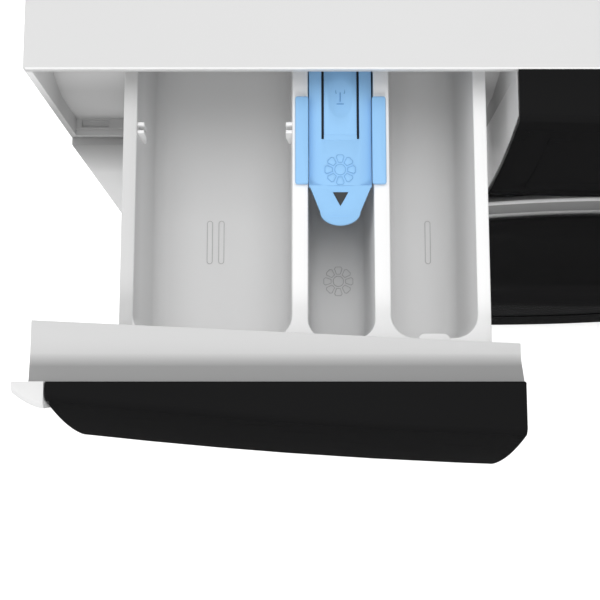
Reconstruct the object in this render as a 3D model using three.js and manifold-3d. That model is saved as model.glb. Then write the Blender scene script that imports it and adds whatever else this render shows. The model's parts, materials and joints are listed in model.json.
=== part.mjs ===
// Front load washing machine, opened at its detergent drawer.
// Millimetres, +Z up, front towards -Y. The origin is on the floor, under the middle of the outline.
// Depths are called b: the distance behind the worktop's front edge, so negative is in front of it.
import * as THREE from "three";
import { mergeVertices } from "three/addons/utils/BufferGeometryUtils.js";
import Module from "manifold-3d";

const wasm = await Module();
wasm.setup();

// ---- Driving dimensions ----
const HALF_WIDTH = 299;
const HEIGHT = 848;
const CABINET_DEPTH = 545;
const FRONT_REACH = 165.8; // the open drawer, in front of the worktop's front edge
const REAR_REACH = 565; // the water inlet, behind the worktop's front edge
const FRONT_Y = (FRONT_REACH - REAR_REACH) / 2; // the worktop's front edge
const GAP = 0.3; // between pieces that touch
const SHEET = 1.2; // steel sheet

const LIP = 4; // worktop plate
const PLATE_BOTTOM = HEIGHT - LIP;
const BOARD_BOTTOM = 831.7;
const FASCIA_BOTTOM = 745.5;
const OVERLAY_BOTTOM = 765;
const LEDGE_TOP = 750.5; // small shelf beside the drawer
const PANEL_PLANE = -3.4; // front panel's face
const PANEL_TOP = 745;
const PLINTH_TOP = 98;
const BASE_Z = 22; // cabinet's lower edge

const AXIS_Z = 465; // drum and door centre
const ROUND = 36; // sides of the large round pieces
const OPENING_RADIUS = 168;
const TUB_RADIUS = 262;
const TUB_SPLIT = 250;
const TUB_WALL = 3;
const DRUM_RADIUS = 240;
const PULLEY_RADIUS = 135;
const MOTOR_PULLEY_RADIUS = 13.5;
const MOTOR_Z = 112;
const SUSPENSION_X = 278;
const SUSPENSION_B = 260;
const DAMPER_X = 190;
const DAMPER_B = 268;
const DAMPER_LUG_Z = 275; // underside of the tub's damper lugs
const SPRING_BOTTOM = 580; // top of the tub's spring lugs
const SPRING_TOP = 800; // underside of the side panels' brackets
const HEATER_Z = 216.5;

const DRAWER_TRAVEL = 131.6;
const DRAWER_RIGHT = -89.4; // right end of the drawer front
const FLANGE_LEFT = -294; // left end of the flange behind it
const COVER_LEFT = -285.4; // left end of its black cover
const TRAY_LEFT = -259.3;
const TRAY_RIGHT = -99.3;
const RIM_Z = 826;
const TRAY_FLOOR = 770.5;

const DOOR_RADIUS = 235;
const DOOR_AXIS_X = -240;
const DOOR_AXIS_BACK = -33;

const DIAL = { x: 90, z: 804, radius: 27 };
const WINDOW = { x0: 135, x1: 235, z0: 792, z1: 826 };

const INLET = { x: -225, z: 796 };
const OUTLET = { x: 262, z: 700 };
const PUMP = { x: 206, z: 62 };

// ---- Materials: colour, roughness, metalness ----
const WHITE = [0xe4e4e4, 0.35, 0];
const TRAY_WHITE = [0xeeeeee, 0.4, 0];
const BLACK = [0x19191a, 0.15, 0];
const GREY = [0x8d8d8d, 0.4, 0];
const BLUE = [0x88b5dc, 0.3, 0];
const GLASS = [0x9fb2ba, 0.05, 0];
const STEEL = [0xb9bbbd, 0.3, 0.9];
const ZINC = [0xa6a9ab, 0.45, 0.8];
const CAST_IRON = [0x77787a, 0.8, 0.4];
const POLYMER = [0xc9cac6, 0.6, 0];
const RUBBER = [0x4a4b4d, 0.8, 0];
const ALUMINIUM = [0xb4b6b8, 0.45, 0.9];

const machine = new THREE.Group();

// ---- Solids ----
function signedVolume(positions, index) {
  const corner = (k) => new THREE.Vector3().fromArray(positions, 3 * index[k]);
  let volume = 0;
  for (let k = 0; k < index.length; k += 3) {
    volume += corner(k).dot(corner(k + 1).cross(corner(k + 2))) / 6;
  }
  return volume;
}

function toSolid(geometry) {
  geometry.deleteAttribute("normal");
  geometry.deleteAttribute("uv");
  const merged = mergeVertices(geometry, 1e-4);
  const positions = new Float32Array(merged.attributes.position.array);
  const all = merged.index.array;
  const kept = [];
  for (let k = 0; k < all.length; k += 3) {
    const [a, b, c] = [all[k], all[k + 1], all[k + 2]];
    if (a !== b && b !== c && c !== a) kept.push(a, b, c);
  }
  if (signedVolume(positions, kept) < 0) kept.reverse();
  const mesh = { numProp: 3, vertProperties: positions, triVerts: new Uint32Array(kept) };
  return new wasm.Manifold(new wasm.Mesh(mesh));
}

function union(first, ...others) {
  return others.reduce((sum, next) => sum.add(next), first);
}

function cut(first, ...others) {
  return others.reduce((left, next) => left.subtract(next), first);
}

function block(x0, x1, b0, b1, z0, z1) {
  const geometry = new THREE.BoxGeometry(x1 - x0, b1 - b0, z1 - z0);
  geometry.translate((x0 + x1) / 2, FRONT_Y + (b0 + b1) / 2, (z0 + z1) / 2);
  return toSolid(geometry);
}

const toShape = (outline) => new THREE.Shape(outline.map(([u, v]) => new THREE.Vector2(u, v)));

// A prism with outline [x, z], from depth b0 to b1.
function prismAlongDepth(outline, b0, b1, hole = null) {
  const shape = toShape(outline);
  if (hole) shape.holes.push(toShape(hole));
  const geometry = new THREE.ExtrudeGeometry(shape, { depth: b1 - b0, bevelEnabled: false });
  geometry.rotateX(Math.PI / 2);
  geometry.translate(0, FRONT_Y + b1, 0);
  return toSolid(geometry);
}

// A prism with outline [x, b], from height z0 to z1.
function prismAlongHeight(outline, z0, z1) {
  const shape = toShape(outline.map(([x, b]) => [x, FRONT_Y + b]));
  const geometry = new THREE.ExtrudeGeometry(shape, { depth: z1 - z0, bevelEnabled: false });
  geometry.translate(0, 0, z0);
  return toSolid(geometry);
}

// A body turned about an axis that runs front to back; the profile holds [radius, b].
function turnedAlongDepth(profile, x, z, segments = 24) {
  const points = profile.map(([r, b]) => new THREE.Vector2(r, b));
  const geometry = new THREE.LatheGeometry(points, segments);
  geometry.translate(x, FRONT_Y, z);
  return toSolid(geometry);
}

// The same, with its front swept back towards the bottom, as the raked door is.
function rakedAlongDepth(profile, segments) {
  const points = profile.map(([r, b]) => new THREE.Vector2(r, b));
  const geometry = new THREE.LatheGeometry(points, segments);
  const place = geometry.attributes.position;
  for (let k = 0; k < place.count; k += 1) {
    const z = AXIS_Z + place.getZ(k);
    place.setXYZ(k, place.getX(k), FRONT_Y + raked(place.getY(k), z), z);
  }
  return toSolid(geometry);
}

// A body turned about an upright axis; the profile holds [radius, z].
function turnedUpright(profile, x, b, segments = 16) {
  const points = profile.map(([r, z]) => new THREE.Vector2(r, z));
  const geometry = new THREE.LatheGeometry(points, segments);
  geometry.rotateX(Math.PI / 2);
  geometry.translate(x, FRONT_Y + b, 0);
  return toSolid(geometry);
}

const closed = (profile) => [...profile, profile[0]];
const rod = (radius, from, to) => [[0, from], [radius, from], [radius, to], [0, to]];
const tube = (inner, outer, from, to) => closed([[inner, from], [outer, from], [outer, to], [inner, to]]);

// A body whose closed [b, z] section changes along X.
function loftAlongWidth(stations, section) {
  const loops = stations.map((x) => section(x).map(([b, z]) => [x, FRONT_Y + b, z]));
  const size = loops[0].length;
  const index = [];
  for (let k = 0; k + 1 < loops.length; k += 1) {
    for (let i = 0; i < size; i += 1) {
      const j = (i + 1) % size;
      const [a, b, c, d] = [k * size + i, k * size + j, (k + 1) * size + j, (k + 1) * size + i];
      index.push(a, b, c, a, c, d);
    }
  }
  const capOf = (loop) => THREE.ShapeUtils.triangulateShape(
    loop.map(([, y, z]) => new THREE.Vector2(y, z)),
    [],
  );
  const last = (loops.length - 1) * size;
  const clockwise = THREE.ShapeUtils.isClockWise(loops[0].map(([, y, z]) => new THREE.Vector2(y, z)));
  for (const face of capOf(loops[0])) {
    const [a, b, c] = orient(face, loops[0], clockwise);
    index.push(a, c, b);
  }
  for (const face of capOf(loops[loops.length - 1])) {
    const [a, b, c] = orient(face, loops[loops.length - 1], clockwise);
    index.push(last + a, last + b, last + c);
  }
  const geometry = new THREE.BufferGeometry();
  geometry.setAttribute("position", new THREE.Float32BufferAttribute(loops.flat(2), 3));
  geometry.setIndex(index);
  return toSolid(geometry);
}

// Turn a cap's triangle the same way round as its loop.
function orient(face, loop, clockwise) {
  const [a, b, c] = face.map((i) => new THREE.Vector2(loop[i][1], loop[i][2]));
  const turnsClockwise = b.clone().sub(a).cross(c.clone().sub(a)) < 0;
  return turnsClockwise === clockwise ? face : [face[0], face[2], face[1]];
}

// A round bar or hose along a smooth line of [x, b, z] points.
function hose(points, radius, sides, steps) {
  const line = new THREE.CatmullRomCurve3(
    points.map(([x, b, z]) => new THREE.Vector3(x, FRONT_Y + b, z)),
  );
  const section = new THREE.Shape();
  for (let k = 0; k < sides; k += 1) {
    const turn = (2 * Math.PI * k) / sides;
    const [u, v] = [radius * Math.cos(turn), radius * Math.sin(turn)];
    if (k === 0) section.moveTo(u, v);
    else section.lineTo(u, v);
  }
  return toSolid(new THREE.ExtrudeGeometry(section, { steps, extrudePath: line }));
}

function add(name, solid, [color, roughness, metalness]) {
  const mesh = solid.getMesh();
  const geometry = new THREE.BufferGeometry();
  geometry.setAttribute("position", new THREE.Float32BufferAttribute(mesh.vertProperties, 3));
  geometry.setIndex(Array.from(mesh.triVerts));
  const piece = new THREE.Mesh(
    geometry,
    new THREE.MeshStandardMaterial({ color, roughness, metalness }),
  );
  piece.name = name;
  machine.add(piece);
}

function stationsBetween(from, to, count) {
  return Array.from({ length: count + 1 }, (_, k) => from + ((to - from) * k) / count);
}

// ---- The face shared by the fascia and the drawer front ----
const CREASE_Z = 846; // where the top turns into the face
const creaseDepth = (x) => 24 - (x * x) / 5208;
const bulge = (drop) => 0.2476 * drop - 0.001265 * drop * drop;
const face = (x, z) => -(creaseDepth(x) + bulge(CREASE_Z - z));
const FACE_HEIGHTS = [CREASE_Z, 826, 800, 780, OVERLAY_BOTTOM];
const COVER_THICKNESS = 2.5; // black covers on the fascia and the drawer
const CHEEK_BACK = 40; // rear edge of the fascia's end walls

// ---- Cabinet ----
function addWorktop() {
  const plate = block(-HALF_WIDTH, HALF_WIDTH, 0, CABINET_DEPTH, PLATE_BOTTOM, HEIGHT);
  const rims = [
    block(-HALF_WIDTH, -HALF_WIDTH + 3, 46, CABINET_DEPTH, BOARD_BOTTOM, HEIGHT - 1),
    block(HALF_WIDTH - 3, HALF_WIDTH, 46, CABINET_DEPTH, BOARD_BOTTOM, HEIGHT - 1),
    block(-HALF_WIDTH, HALF_WIDTH, CABINET_DEPTH - 2, CABINET_DEPTH, BOARD_BOTTOM, HEIGHT - 1),
  ];
  const board = block(-290, 290, 46, 538, BOARD_BOTTOM, HEIGHT - 1);
  add("worktop", union(plate, ...rims, board), WHITE);
}

function addSidePanel(name, side) {
  const outline = [
    [299, 12], [299, 541], [284, 541], [284, 541 - SHEET], [299 - SHEET, 541 - SHEET],
    [299 - SHEET, 12 + SHEET], [287, 12 + SHEET], [287, 12],
  ];
  const sheet = prismAlongHeight(outline.map(([x, b]) => [side * x, b]), BASE_Z, BOARD_BOTTOM - GAP);
  const [x0, x1] = [side * 268, side * 298.5].sort((a, b) => a - b);
  const bracket = block(x0, x1, SUSPENSION_B - 10, SUSPENSION_B + 10, SPRING_TOP, SPRING_TOP + 3);
  // The upper front corner steps back for the fascia's side rail and shoulders.
  const corner = block(-300, 300, 11, 46, PANEL_TOP, HEIGHT);
  add(name, cut(union(sheet, bracket), corner), WHITE);
}

function addFrontPanel() {
  const bottom = PLINTH_TOP + 2;
  const plate = block(-HALF_WIDTH, HALF_WIDTH, PANEL_PLANE, PANEL_PLANE + SHEET, bottom, PANEL_TOP);
  const sides = [-1, 1].map((side) => {
    const [x0, x1] = [side * HALF_WIDTH, side * (HALF_WIDTH - SHEET)].sort((a, b) => a - b);
    return block(x0, x1, PANEL_PLANE, 11, bottom, PANEL_TOP);
  });
  const top = block(-HALF_WIDTH, HALF_WIDTH, PANEL_PLANE, 7, PANEL_TOP - SHEET, PANEL_TOP);
  const opening = turnedAlongDepth(rod(OPENING_RADIUS, -10, 5), 0, AXIS_Z, ROUND);
  const lockSlot = block(185, 212, -10, 5, AXIS_Z - 20, AXIS_Z + 26);
  add("front_panel", cut(union(plate, ...sides, top), opening, lockSlot), WHITE);
}

function addRear() {
  const sheet = block(-296, 296, 541 + GAP, 541 + GAP + SHEET, BASE_Z, BOARD_BOTTOM - GAP);
  const opening = turnedAlongDepth(rod(150, 530, 550), 0, AXIS_Z, 32);
  const inlet = turnedAlongDepth(rod(13.5, 530, 550), INLET.x, INLET.z, 16);
  const drain = turnedAlongDepth(rod(12.5, 530, 550), OUTLET.x, OUTLET.z, 16);
  add("rear_panel", cut(sheet, opening, inlet, drain), WHITE);
  const dish = [
    [0, 554], [140, 554], [150, 545], [168, 545], [168, 543], [149, 543], [139, 552.6], [0, 552.6],
  ];
  add("rear_service_cover", turnedAlongDepth(dish, 0, AXIS_Z, 32), ZINC);
  add("mains_inlet", union(
    block(225, 270, 543, 551, 770, 800),
    turnedAlongDepth([[0, 550], [9, 550], [7, 562], [0, 562]], 247, 785, 12),
  ), RUBBER);
}

function addBase() {
  const tray = cut(
    block(-297, 297, 13.6, 539.4, BASE_Z, 56),
    block(-293, 293, 17.6, 535.4, 26, 60),
    turnedAlongDepth(rod(29, 10, 20), PUMP.x, PUMP.z, 20),
  );
  const footHoles = footPlaces().map(({ x, b }) => turnedUpright(rod(6, 10, 40), x, b));
  add("base_tray", cut(tray, ...footHoles), POLYMER);
  const plinth = block(-HALF_WIDTH, HALF_WIDTH, PANEL_PLANE, 9, BASE_Z - 8, PLINTH_TOP);
  const wall = 3;
  const inner = HALF_WIDTH - wall;
  const hollow = block(-inner, inner, PANEL_PLANE + wall, 10, BASE_Z - 10, PLINTH_TOP - wall);
  const flapOpening = block(150, 262, -10, 12, 32, 88);
  add("plinth", cut(plinth, hollow, flapOpening), WHITE);
}

function footPlaces() {
  return [
    { name: "foot_front_left", x: -262, b: 50 },
    { name: "foot_front_right", x: 262, b: 50 },
    { name: "foot_rear_left", x: -262, b: 500 },
    { name: "foot_rear_right", x: 262, b: 500 },
  ];
}

function addFeet() {
  const profile = [[0, 0], [19, 0], [22, 3], [22, 8], [10, 11], [10, 20], [5, 20], [5, 50], [0, 50]];
  for (const { name, x, b } of footPlaces()) add(name, turnedUpright(profile, x, b, 16), RUBBER);
}

// The white carrier: a curved wall under the black overlay, a sill below the drawer and a side rail.
function addFascia() {
  const left = DRAWER_RIGHT + 0.5;
  const stations = stationsBetween(left, HALF_WIDTH, 6);
  const wallSection = (x) => {
    const front = FACE_HEIGHTS.map((z) => [face(x, z) + 3, Math.min(z, PLATE_BOTTOM - GAP)]);
    const back = FACE_HEIGHTS.map((z) => [face(x, z) + 5.5, Math.min(z, 841)]).reverse();
    return [[2, PLATE_BOTTOM - GAP], ...front, ...back, [2, 841]];
  };
  const wall = loftAlongWidth(stations, wallSection);
  const lowerLip = loftAlongWidth(stations, (x) => {
    const nose = face(x, OVERLAY_BOTTOM);
    return [
      [nose + 1.5, OVERLAY_BOTTOM - 1.5], [nose + 6, FASCIA_BOTTOM + 3], [nose + 14, FASCIA_BOTTOM],
      [8, FASCIA_BOTTOM], [8, FASCIA_BOTTOM + 3], [nose + 15, FASCIA_BOTTOM + 3],
      [nose + 8, OVERLAY_BOTTOM + 2], [nose + 3.4, OVERLAY_BOTTOM + 2],
      [nose + 3.4, OVERLAY_BOTTOM - 1.5],
    ];
  });
  const shoulder = block(left, HALF_WIDTH, -4, 40, 841, PLATE_BOTTOM - GAP);
  const endWall = (x0, x1) => loftAlongWidth([x0, x1], (x) => {
    const front = FACE_HEIGHTS.map((z) => [face(x, z) + 3, Math.min(z, PLATE_BOTTOM - GAP)]);
    const foot = [[face(x, OVERLAY_BOTTOM) + 14, FASCIA_BOTTOM], [CHEEK_BACK, FASCIA_BOTTOM]];
    return [[CHEEK_BACK, PLATE_BOTTOM - GAP], ...front, ...foot];
  });
  const cheeks = [endWall(left, left + 2.5), endWall(HALF_WIDTH - 2.5, HALF_WIDTH)];
  const sill = union(
    block(-HALF_WIDTH, left + 1, 0.5, 40, FASCIA_BOTTOM, FASCIA_BOTTOM + 4),
    block(-HALF_WIDTH, -HALF_WIDTH + 3, 0.5, 40, FASCIA_BOTTOM, PLATE_BOTTOM - GAP),
  );
  const ledge = cut(
    block(-297, -262, 3.4, 11, FASCIA_BOTTOM, LEDGE_TOP),
    block(-293, -279, 4.4, 8.2, FASCIA_BOTTOM - 1, LEDGE_TOP + 1),
  );
  // The recess behind the drawer front rises from the ledge and curves back over the drawer's flange.
  const recessLine = [
    [9, FASCIA_BOTTOM + 1], [9, 785], [13, 802], [20, 818], [27.5, 829], [27.5, PLATE_BOTTOM - GAP],
  ];
  const recessWall = (x0, x1) => loftAlongWidth([x0, x1], () => [
    ...recessLine,
    ...recessLine.map(([b, z]) => [b + 2.5, z]).reverse(),
  ]);
  const recessWalls = [
    recessWall(-HALF_WIDTH + 2, TRAY_LEFT - 2.7),
    recessWall(TRAY_RIGHT + 2.3, left + 1),
  ];
  const controls = controlPlaces().map(({ x, z, radius }) => (
    turnedAlongDepth(rod(radius + 1.2, -60, 0), x, z, 20)));
  const recess = block(WINDOW.x0 + 6, WINDOW.x1 - 6, -60, 0, WINDOW.z0 + 4, WINDOW.z1 - 4);
  const carrier = union(wall, lowerLip, shoulder, ...cheeks, sill, ledge, ...recessWalls);
  add("control_fascia", cut(carrier, ...controls, recess), WHITE);

  const overlay = loftAlongWidth(stationsBetween(left, HALF_WIDTH - 1, 6), (x) => {
    const outer = FACE_HEIGHTS.map((z) => [face(x, z), z]);
    const inner = FACE_HEIGHTS.map((z) => [face(x, z) + 2.7, Math.min(z, HEIGHT - 3.6)]).reverse();
    return [[-GAP, HEIGHT], [face(x, CREASE_Z) + 2.5, HEIGHT], ...outer, ...inner, [-GAP, HEIGHT - 3.6]];
  });
  const holes = controlPlaces().map(({ x, z, radius }) => (
    turnedAlongDepth(rod(radius + 0.6, -60, 0), x, z, 24)));
  const windowHole = block(WINDOW.x0, WINDOW.x1, -60, -8, WINDOW.z0, WINDOW.z1);
  add("fascia_overlay", cut(overlay, ...holes, windowHole), BLACK);

  const pane = loftAlongWidth(stationsBetween(WINDOW.x0 + 0.4, WINDOW.x1 - 0.4, 4), (x) => [
    [face(x, WINDOW.z1) + 0.2, WINDOW.z1 - 0.4], [face(x, WINDOW.z0) + 0.2, WINDOW.z0 + 0.4],
    [face(x, WINDOW.z0) + 2.4, WINDOW.z0 + 0.4], [face(x, WINDOW.z1) + 2.4, WINDOW.z1 - 0.4],
  ]);
  add("display_window", pane, GLASS);
}

function controlPlaces() {
  return [
    { name: "programme_dial", ...DIAL },
    { name: "start_button", x: 264, z: 804, radius: 11 },
  ];
}

function addControls() {
  for (const { name, x, z, radius } of controlPlaces()) {
    const front = face(x, z - radius / 2);
    if (name === "programme_dial") {
      const knob = [
        [0, front + 10], [radius, front + 10], [radius, front - 4], [radius - 3, front - 18],
        [radius - 6, front - 20], [0, front - 20],
      ];
      const pointer = block(x - 1, x + 1, front - 21, front - 19, z + 8, z + radius - 7);
      add(name, cut(turnedAlongDepth(knob, x, z, 32), pointer), BLACK);
    } else {
      const cap = [[0, front + 9], [radius, front + 9], [radius, front - 1.5], [radius - 1, front - 2.5],
        [0, front - 2.5]];
      add(name, turnedAlongDepth(cap, x, z, 16), BLACK);
    }
  }
  add("control_module", block(10, 285, 2, 38, 758, 826), POLYMER);
}

function addFrontFittings() {
  add("front_brace", block(-286, 286, 14, 30, 724, 742), ZINC);
  const lock = cut(
    block(183, 222, 0, 30, AXIS_Z - 30, AXIS_Z + 36),
    block(186, 211, -1, 22, AXIS_Z - 18, AXIS_Z + 24),
  );
  add("door_lock", lock, POLYMER);
}

// ---- Detergent dispenser ----
function addDispenserHousing() {
  const shell = cut(
    block(-267, -92, 42, 330, 762, 831),
    block(-264.5, -94.5, 41, 327.5, 764.5, 829),
  );
  add("dispenser_housing", shell, POLYMER);
  const valve = union(
    block(-258, -192, 470, 538, 772, 822),
    turnedAlongDepth(rod(13, 537, REAR_REACH), INLET.x, INLET.z, 16),
  );
  add("inlet_valve", valve, POLYMER);
}

const opened = (b) => b - DRAWER_TRAVEL;

function capInset(x) {
  const along = Math.min(Math.max((COVER_LEFT - x) / (COVER_LEFT + HALF_WIDTH), 0), 1);
  return 1 - Math.sqrt(1 - along * along);
}

function addDrawerFront() {
  const coverStations = stationsBetween(COVER_LEFT, DRAWER_RIGHT, 4);
  const cover = loftAlongWidth(coverStations, (x) => {
    const outer = FACE_HEIGHTS.map((z) => [face(x, z), z]);
    const inner = FACE_HEIGHTS.map((z) => [face(x, z) + COVER_THICKNESS, Math.min(z, HEIGHT - 3)]);
    const shoulder = [face(x, CREASE_Z) + COVER_THICKNESS, HEIGHT];
    const loop = [[0, HEIGHT], shoulder, ...outer, ...inner.reverse(), [0, HEIGHT - 3]];
    return loop.map(([b, z]) => [opened(b), z]);
  });
  add("drawer_front_cover", cover, BLACK);

  // The white body: a wall behind the cover, a coved flange behind it and a rounded end on the left.
  const flangeEdge = (x) => 16 + (10 * (DRAWER_RIGHT - x)) / (DRAWER_RIGHT + HALF_WIDTH);
  const body = loftAlongWidth(stationsBetween(FLANGE_LEFT, DRAWER_RIGHT, 4), (x) => {
    const front = FACE_HEIGHTS.map((z) => [face(x, z) + 2.8, Math.min(z, HEIGHT - 3.3)]);
    const loop = [
      [-0.8, HEIGHT - 3.3], ...front, [3, OVERLAY_BOTTOM], [3, RIM_Z + 6], [flangeEdge(x), RIM_Z + 6],
      [flangeEdge(x), 837.5], [6, 838.5], [2, 841],
    ];
    return loop.map(([b, z]) => [opened(b), z]);
  });
  const capLeft = COVER_LEFT - GAP;
  const capStations = [1, 0.85, 0.6, 0.3, 0].map((t) => capLeft - t * (HALF_WIDTH + capLeft));
  const endCap = loftAlongWidth(capStations, (x) => {
    const tuck = 16 * capInset(x);
    const top = Math.min(face(x, CREASE_Z) + 0.25 * tuck, -2.9);
    const front = FACE_HEIGHTS.map((z) => [Math.min(face(x, z) + tuck, top), z]);
    const loop = [[0, HEIGHT], [top + 2, HEIGHT], ...front, [0, OVERLAY_BOTTOM]];
    return loop.map(([b, z]) => [opened(b), z]);
  });
  const grip = block(-235, -145, opened(-17), opened(0), OVERLAY_BOTTOM - 1, 800);
  add("drawer_front_body", cut(union(body, endCap), grip), TRAY_WHITE);
}

// A compartment with two rounded front corners, as an outline [x, b].
function compartmentOutline(x0, x1, front, rear, radius) {
  const outline = [[x0, rear]];
  const steps = 3;
  for (let k = 0; k <= steps; k += 1) {
    const turn = (Math.PI / 2) * (k / steps);
    outline.push([x0 + radius * (1 - Math.cos(turn)), front + radius * (1 - Math.sin(turn))]);
  }
  for (let k = steps; k >= 0; k -= 1) {
    const turn = (Math.PI / 2) * (k / steps);
    outline.push([x1 - radius * (1 - Math.cos(turn)), front + radius * (1 - Math.sin(turn))]);
  }
  outline.push([x1, rear]);
  return outline;
}

const COMPARTMENTS = [
  { x0: -253.3, x1: -184.9, corner: 10 }, // main wash
  { x0: -178, x1: -149.2, corner: 8 }, // softener
  { x0: -142.3, x1: -105.1, corner: 10 }, // prewash
];

function addDrawerTray() {
  const front = -112;
  const rear = 158;
  const blank = block(TRAY_LEFT, TRAY_RIGHT, opened(3) + GAP, rear + 6, TRAY_FLOOR - 3, RIM_Z);
  const pockets = COMPARTMENTS.map(({ x0, x1, corner }) => (
    prismAlongHeight(compartmentOutline(x0, x1, front, rear, corner), TRAY_FLOOR, RIM_Z + 5)));
  add("drawer_tray", cut(blank, ...pockets), TRAY_WHITE);
}

// The siphon insert lies in the softener compartment and its wings rest on the dividers.
const TONGUE = { x0: -171.3, x1: -157, root: -24, tip: 15 };

function addSiphonInsert() {
  const channel = block(-177.4, -149.8, -45.7, 150, 794, 825);
  const hollow = block(-175, -152.2, -40, 148, 792, 822.5);
  const wings = block(-183.6, -143.8, -44.9, -5.3, RIM_Z + GAP, RIM_Z + 2.3);
  const joinPad = block(-177.4, -149.8, -45.7, 150, 824.5, RIM_Z + 1.6);
  const chin = loftAlongWidth([-174.5, -169, -163.6, -158, -152.7], (x) => {
    const reach = 15 * Math.sqrt(Math.max(1 - ((x + 163.6) / 12) ** 2, 0.04));
    return [[-45.4, 827], [-45.4, 812], [-46 - reach, 812], [-46 - reach, 816]];
  });
  const slot = block(TONGUE.x0 - 0.5, TONGUE.x1 + 0.5, TONGUE.root - 0.5, TONGUE.tip + 1, 800, 835);
  add("siphon_insert", cut(union(channel, wings, joinPad, chin), hollow, slot), BLUE);
  const tongue = block(TONGUE.x0, TONGUE.x1, TONGUE.root, TONGUE.tip, 824, RIM_Z + 1.6);
  add("release_tongue", tongue, BLUE);
}

// ---- Door ----
const RAKE_START = -28.5; // the door is raked in front of this depth

function raked(b, z) {
  if (b >= RAKE_START) return b;
  const up = (z - AXIS_Z + DOOR_RADIUS) / (2 * DOOR_RADIUS);
  return RAKE_START + (b - RAKE_START) * (0.15 + 0.9 * up * up);
}

const HANDLE = { x0: 201, z0: AXIS_Z - 48, z1: AXIS_Z + 48 };
const RING_SEGMENTS = 40;

function addDoor() {
  const ringProfile = closed([
    [231, -28.5], [DOOR_RADIUS, -34], [DOOR_RADIUS - 1, -58], [228, -72], [217, -79], [192, -76],
    [168, -66], [171, -60], [212, -50], [226, -28.5],
  ]);
  const ring = rakedAlongDepth(ringProfile, RING_SEGMENTS);
  const around = block(HANDLE.x0 - 0.6, 240, -90, 0, HANDLE.z0 - 0.6, HANDLE.z1 + 0.6);
  const grip = block(HANDLE.x0, 240, -90, 0, HANDLE.z0, HANDLE.z1);
  const armSeat = block(-236, -216, -40, -20, AXIS_Z - 25, AXIS_Z + 25);
  add("door_outer_ring", cut(ring, around, armSeat), BLACK);
  add("door_handle", ring.intersect(grip), BLACK);

  const rearProfile = closed([
    [231, -28.2], [230.5, -22], [226, -19.5], [200, -9], [168, -7], [168, -11], [198, -13], [223, -28.2],
  ]);
  const hookSlot = block(187, 208, -40, 0, AXIS_Z - 14, AXIS_Z + 20);
  const rearSeat = block(-236, -212, -40, -15, AXIS_Z - 25, AXIS_Z + 25);
  const rearRing = turnedAlongDepth(rearProfile, 0, AXIS_Z, RING_SEGMENTS);
  add("door_rear_ring", cut(rearRing, hookSlot, rearSeat), GREY);

  const bowl = [
    [0, 82], [93, 80], [116, 66], [146, -13], [167, -13],
    [167, -8], [151, -8], [122, 69], [97, 86], [0, 88],
  ];
  add("door_glass_bowl", turnedAlongDepth(bowl, 0, AXIS_Z, ROUND), GLASS);
  const front = [
    [0, -70], [60, -69.6], [120, -68.5], [166, -63.5], [166, -57], [120, -61.5], [60, -62.6], [0, -63],
  ];
  add("door_front_glass", rakedAlongDepth(front, ROUND), GLASS);

  const barrelBottom = AXIS_Z - 8;
  const arm = union(
    block(DOOR_AXIS_X, -216.5, DOOR_AXIS_BACK - 5, DOOR_AXIS_BACK + 5, AXIS_Z - 8, AXIS_Z + 8),
    block(-226, -216.5, -39.5, -21, AXIS_Z - 24, AXIS_Z + 24),
    turnedUpright(rod(6, barrelBottom, AXIS_Z + 8), DOOR_AXIS_X, DOOR_AXIS_BACK),
  );
  const bore = turnedUpright(rod(2.6, barrelBottom - 1, AXIS_Z + 9), DOOR_AXIS_X, DOOR_AXIS_BACK);
  add("door_hinge_arm", cut(arm, bore), ZINC);

  const knuckles = [-1, 1].map((side) => {
    const [z0, z1] = side < 0 ? [AXIS_Z - 22, AXIS_Z - 8.3] : [AXIS_Z + 8.3, AXIS_Z + 22];
    return union(
      turnedUpright(rod(5, z0, z1), DOOR_AXIS_X, DOOR_AXIS_BACK),
      block(DOOR_AXIS_X - 4, DOOR_AXIS_X + 3, DOOR_AXIS_BACK, PANEL_PLANE - GAP, z0, z1),
    );
  });
  const pin = turnedUpright(rod(2.4, AXIS_Z - 24, AXIS_Z + 24), DOOR_AXIS_X, DOOR_AXIS_BACK);
  const plate = block(-262, -236, PANEL_PLANE - GAP - 3, PANEL_PLANE - GAP, AXIS_Z - 35, AXIS_Z + 35);
  add("hinge_bracket", union(plate, ...knuckles, pin), ZINC);

  const hook = union(
    block(193, 199, -26, 12, AXIS_Z - 5, AXIS_Z + 10),
    block(193, 205, 6, 12, AXIS_Z - 5, AXIS_Z + 10),
    turnedUpright(rod(4, AXIS_Z - 10, AXIS_Z + 15), 196, -26),
  );
  add("latch_hook", hook, ZINC);
}

function addGasket() {
  const bellows = closed([
    [166, -1], [166, 18], [180, 30], [166, 42], [166, 56],
    [163, 56], [163, 41], [176, 30], [163, 19], [163, -1],
  ]);
  add("door_gasket", turnedAlongDepth(bellows, 0, AXIS_Z, ROUND), RUBBER);
}

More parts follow.
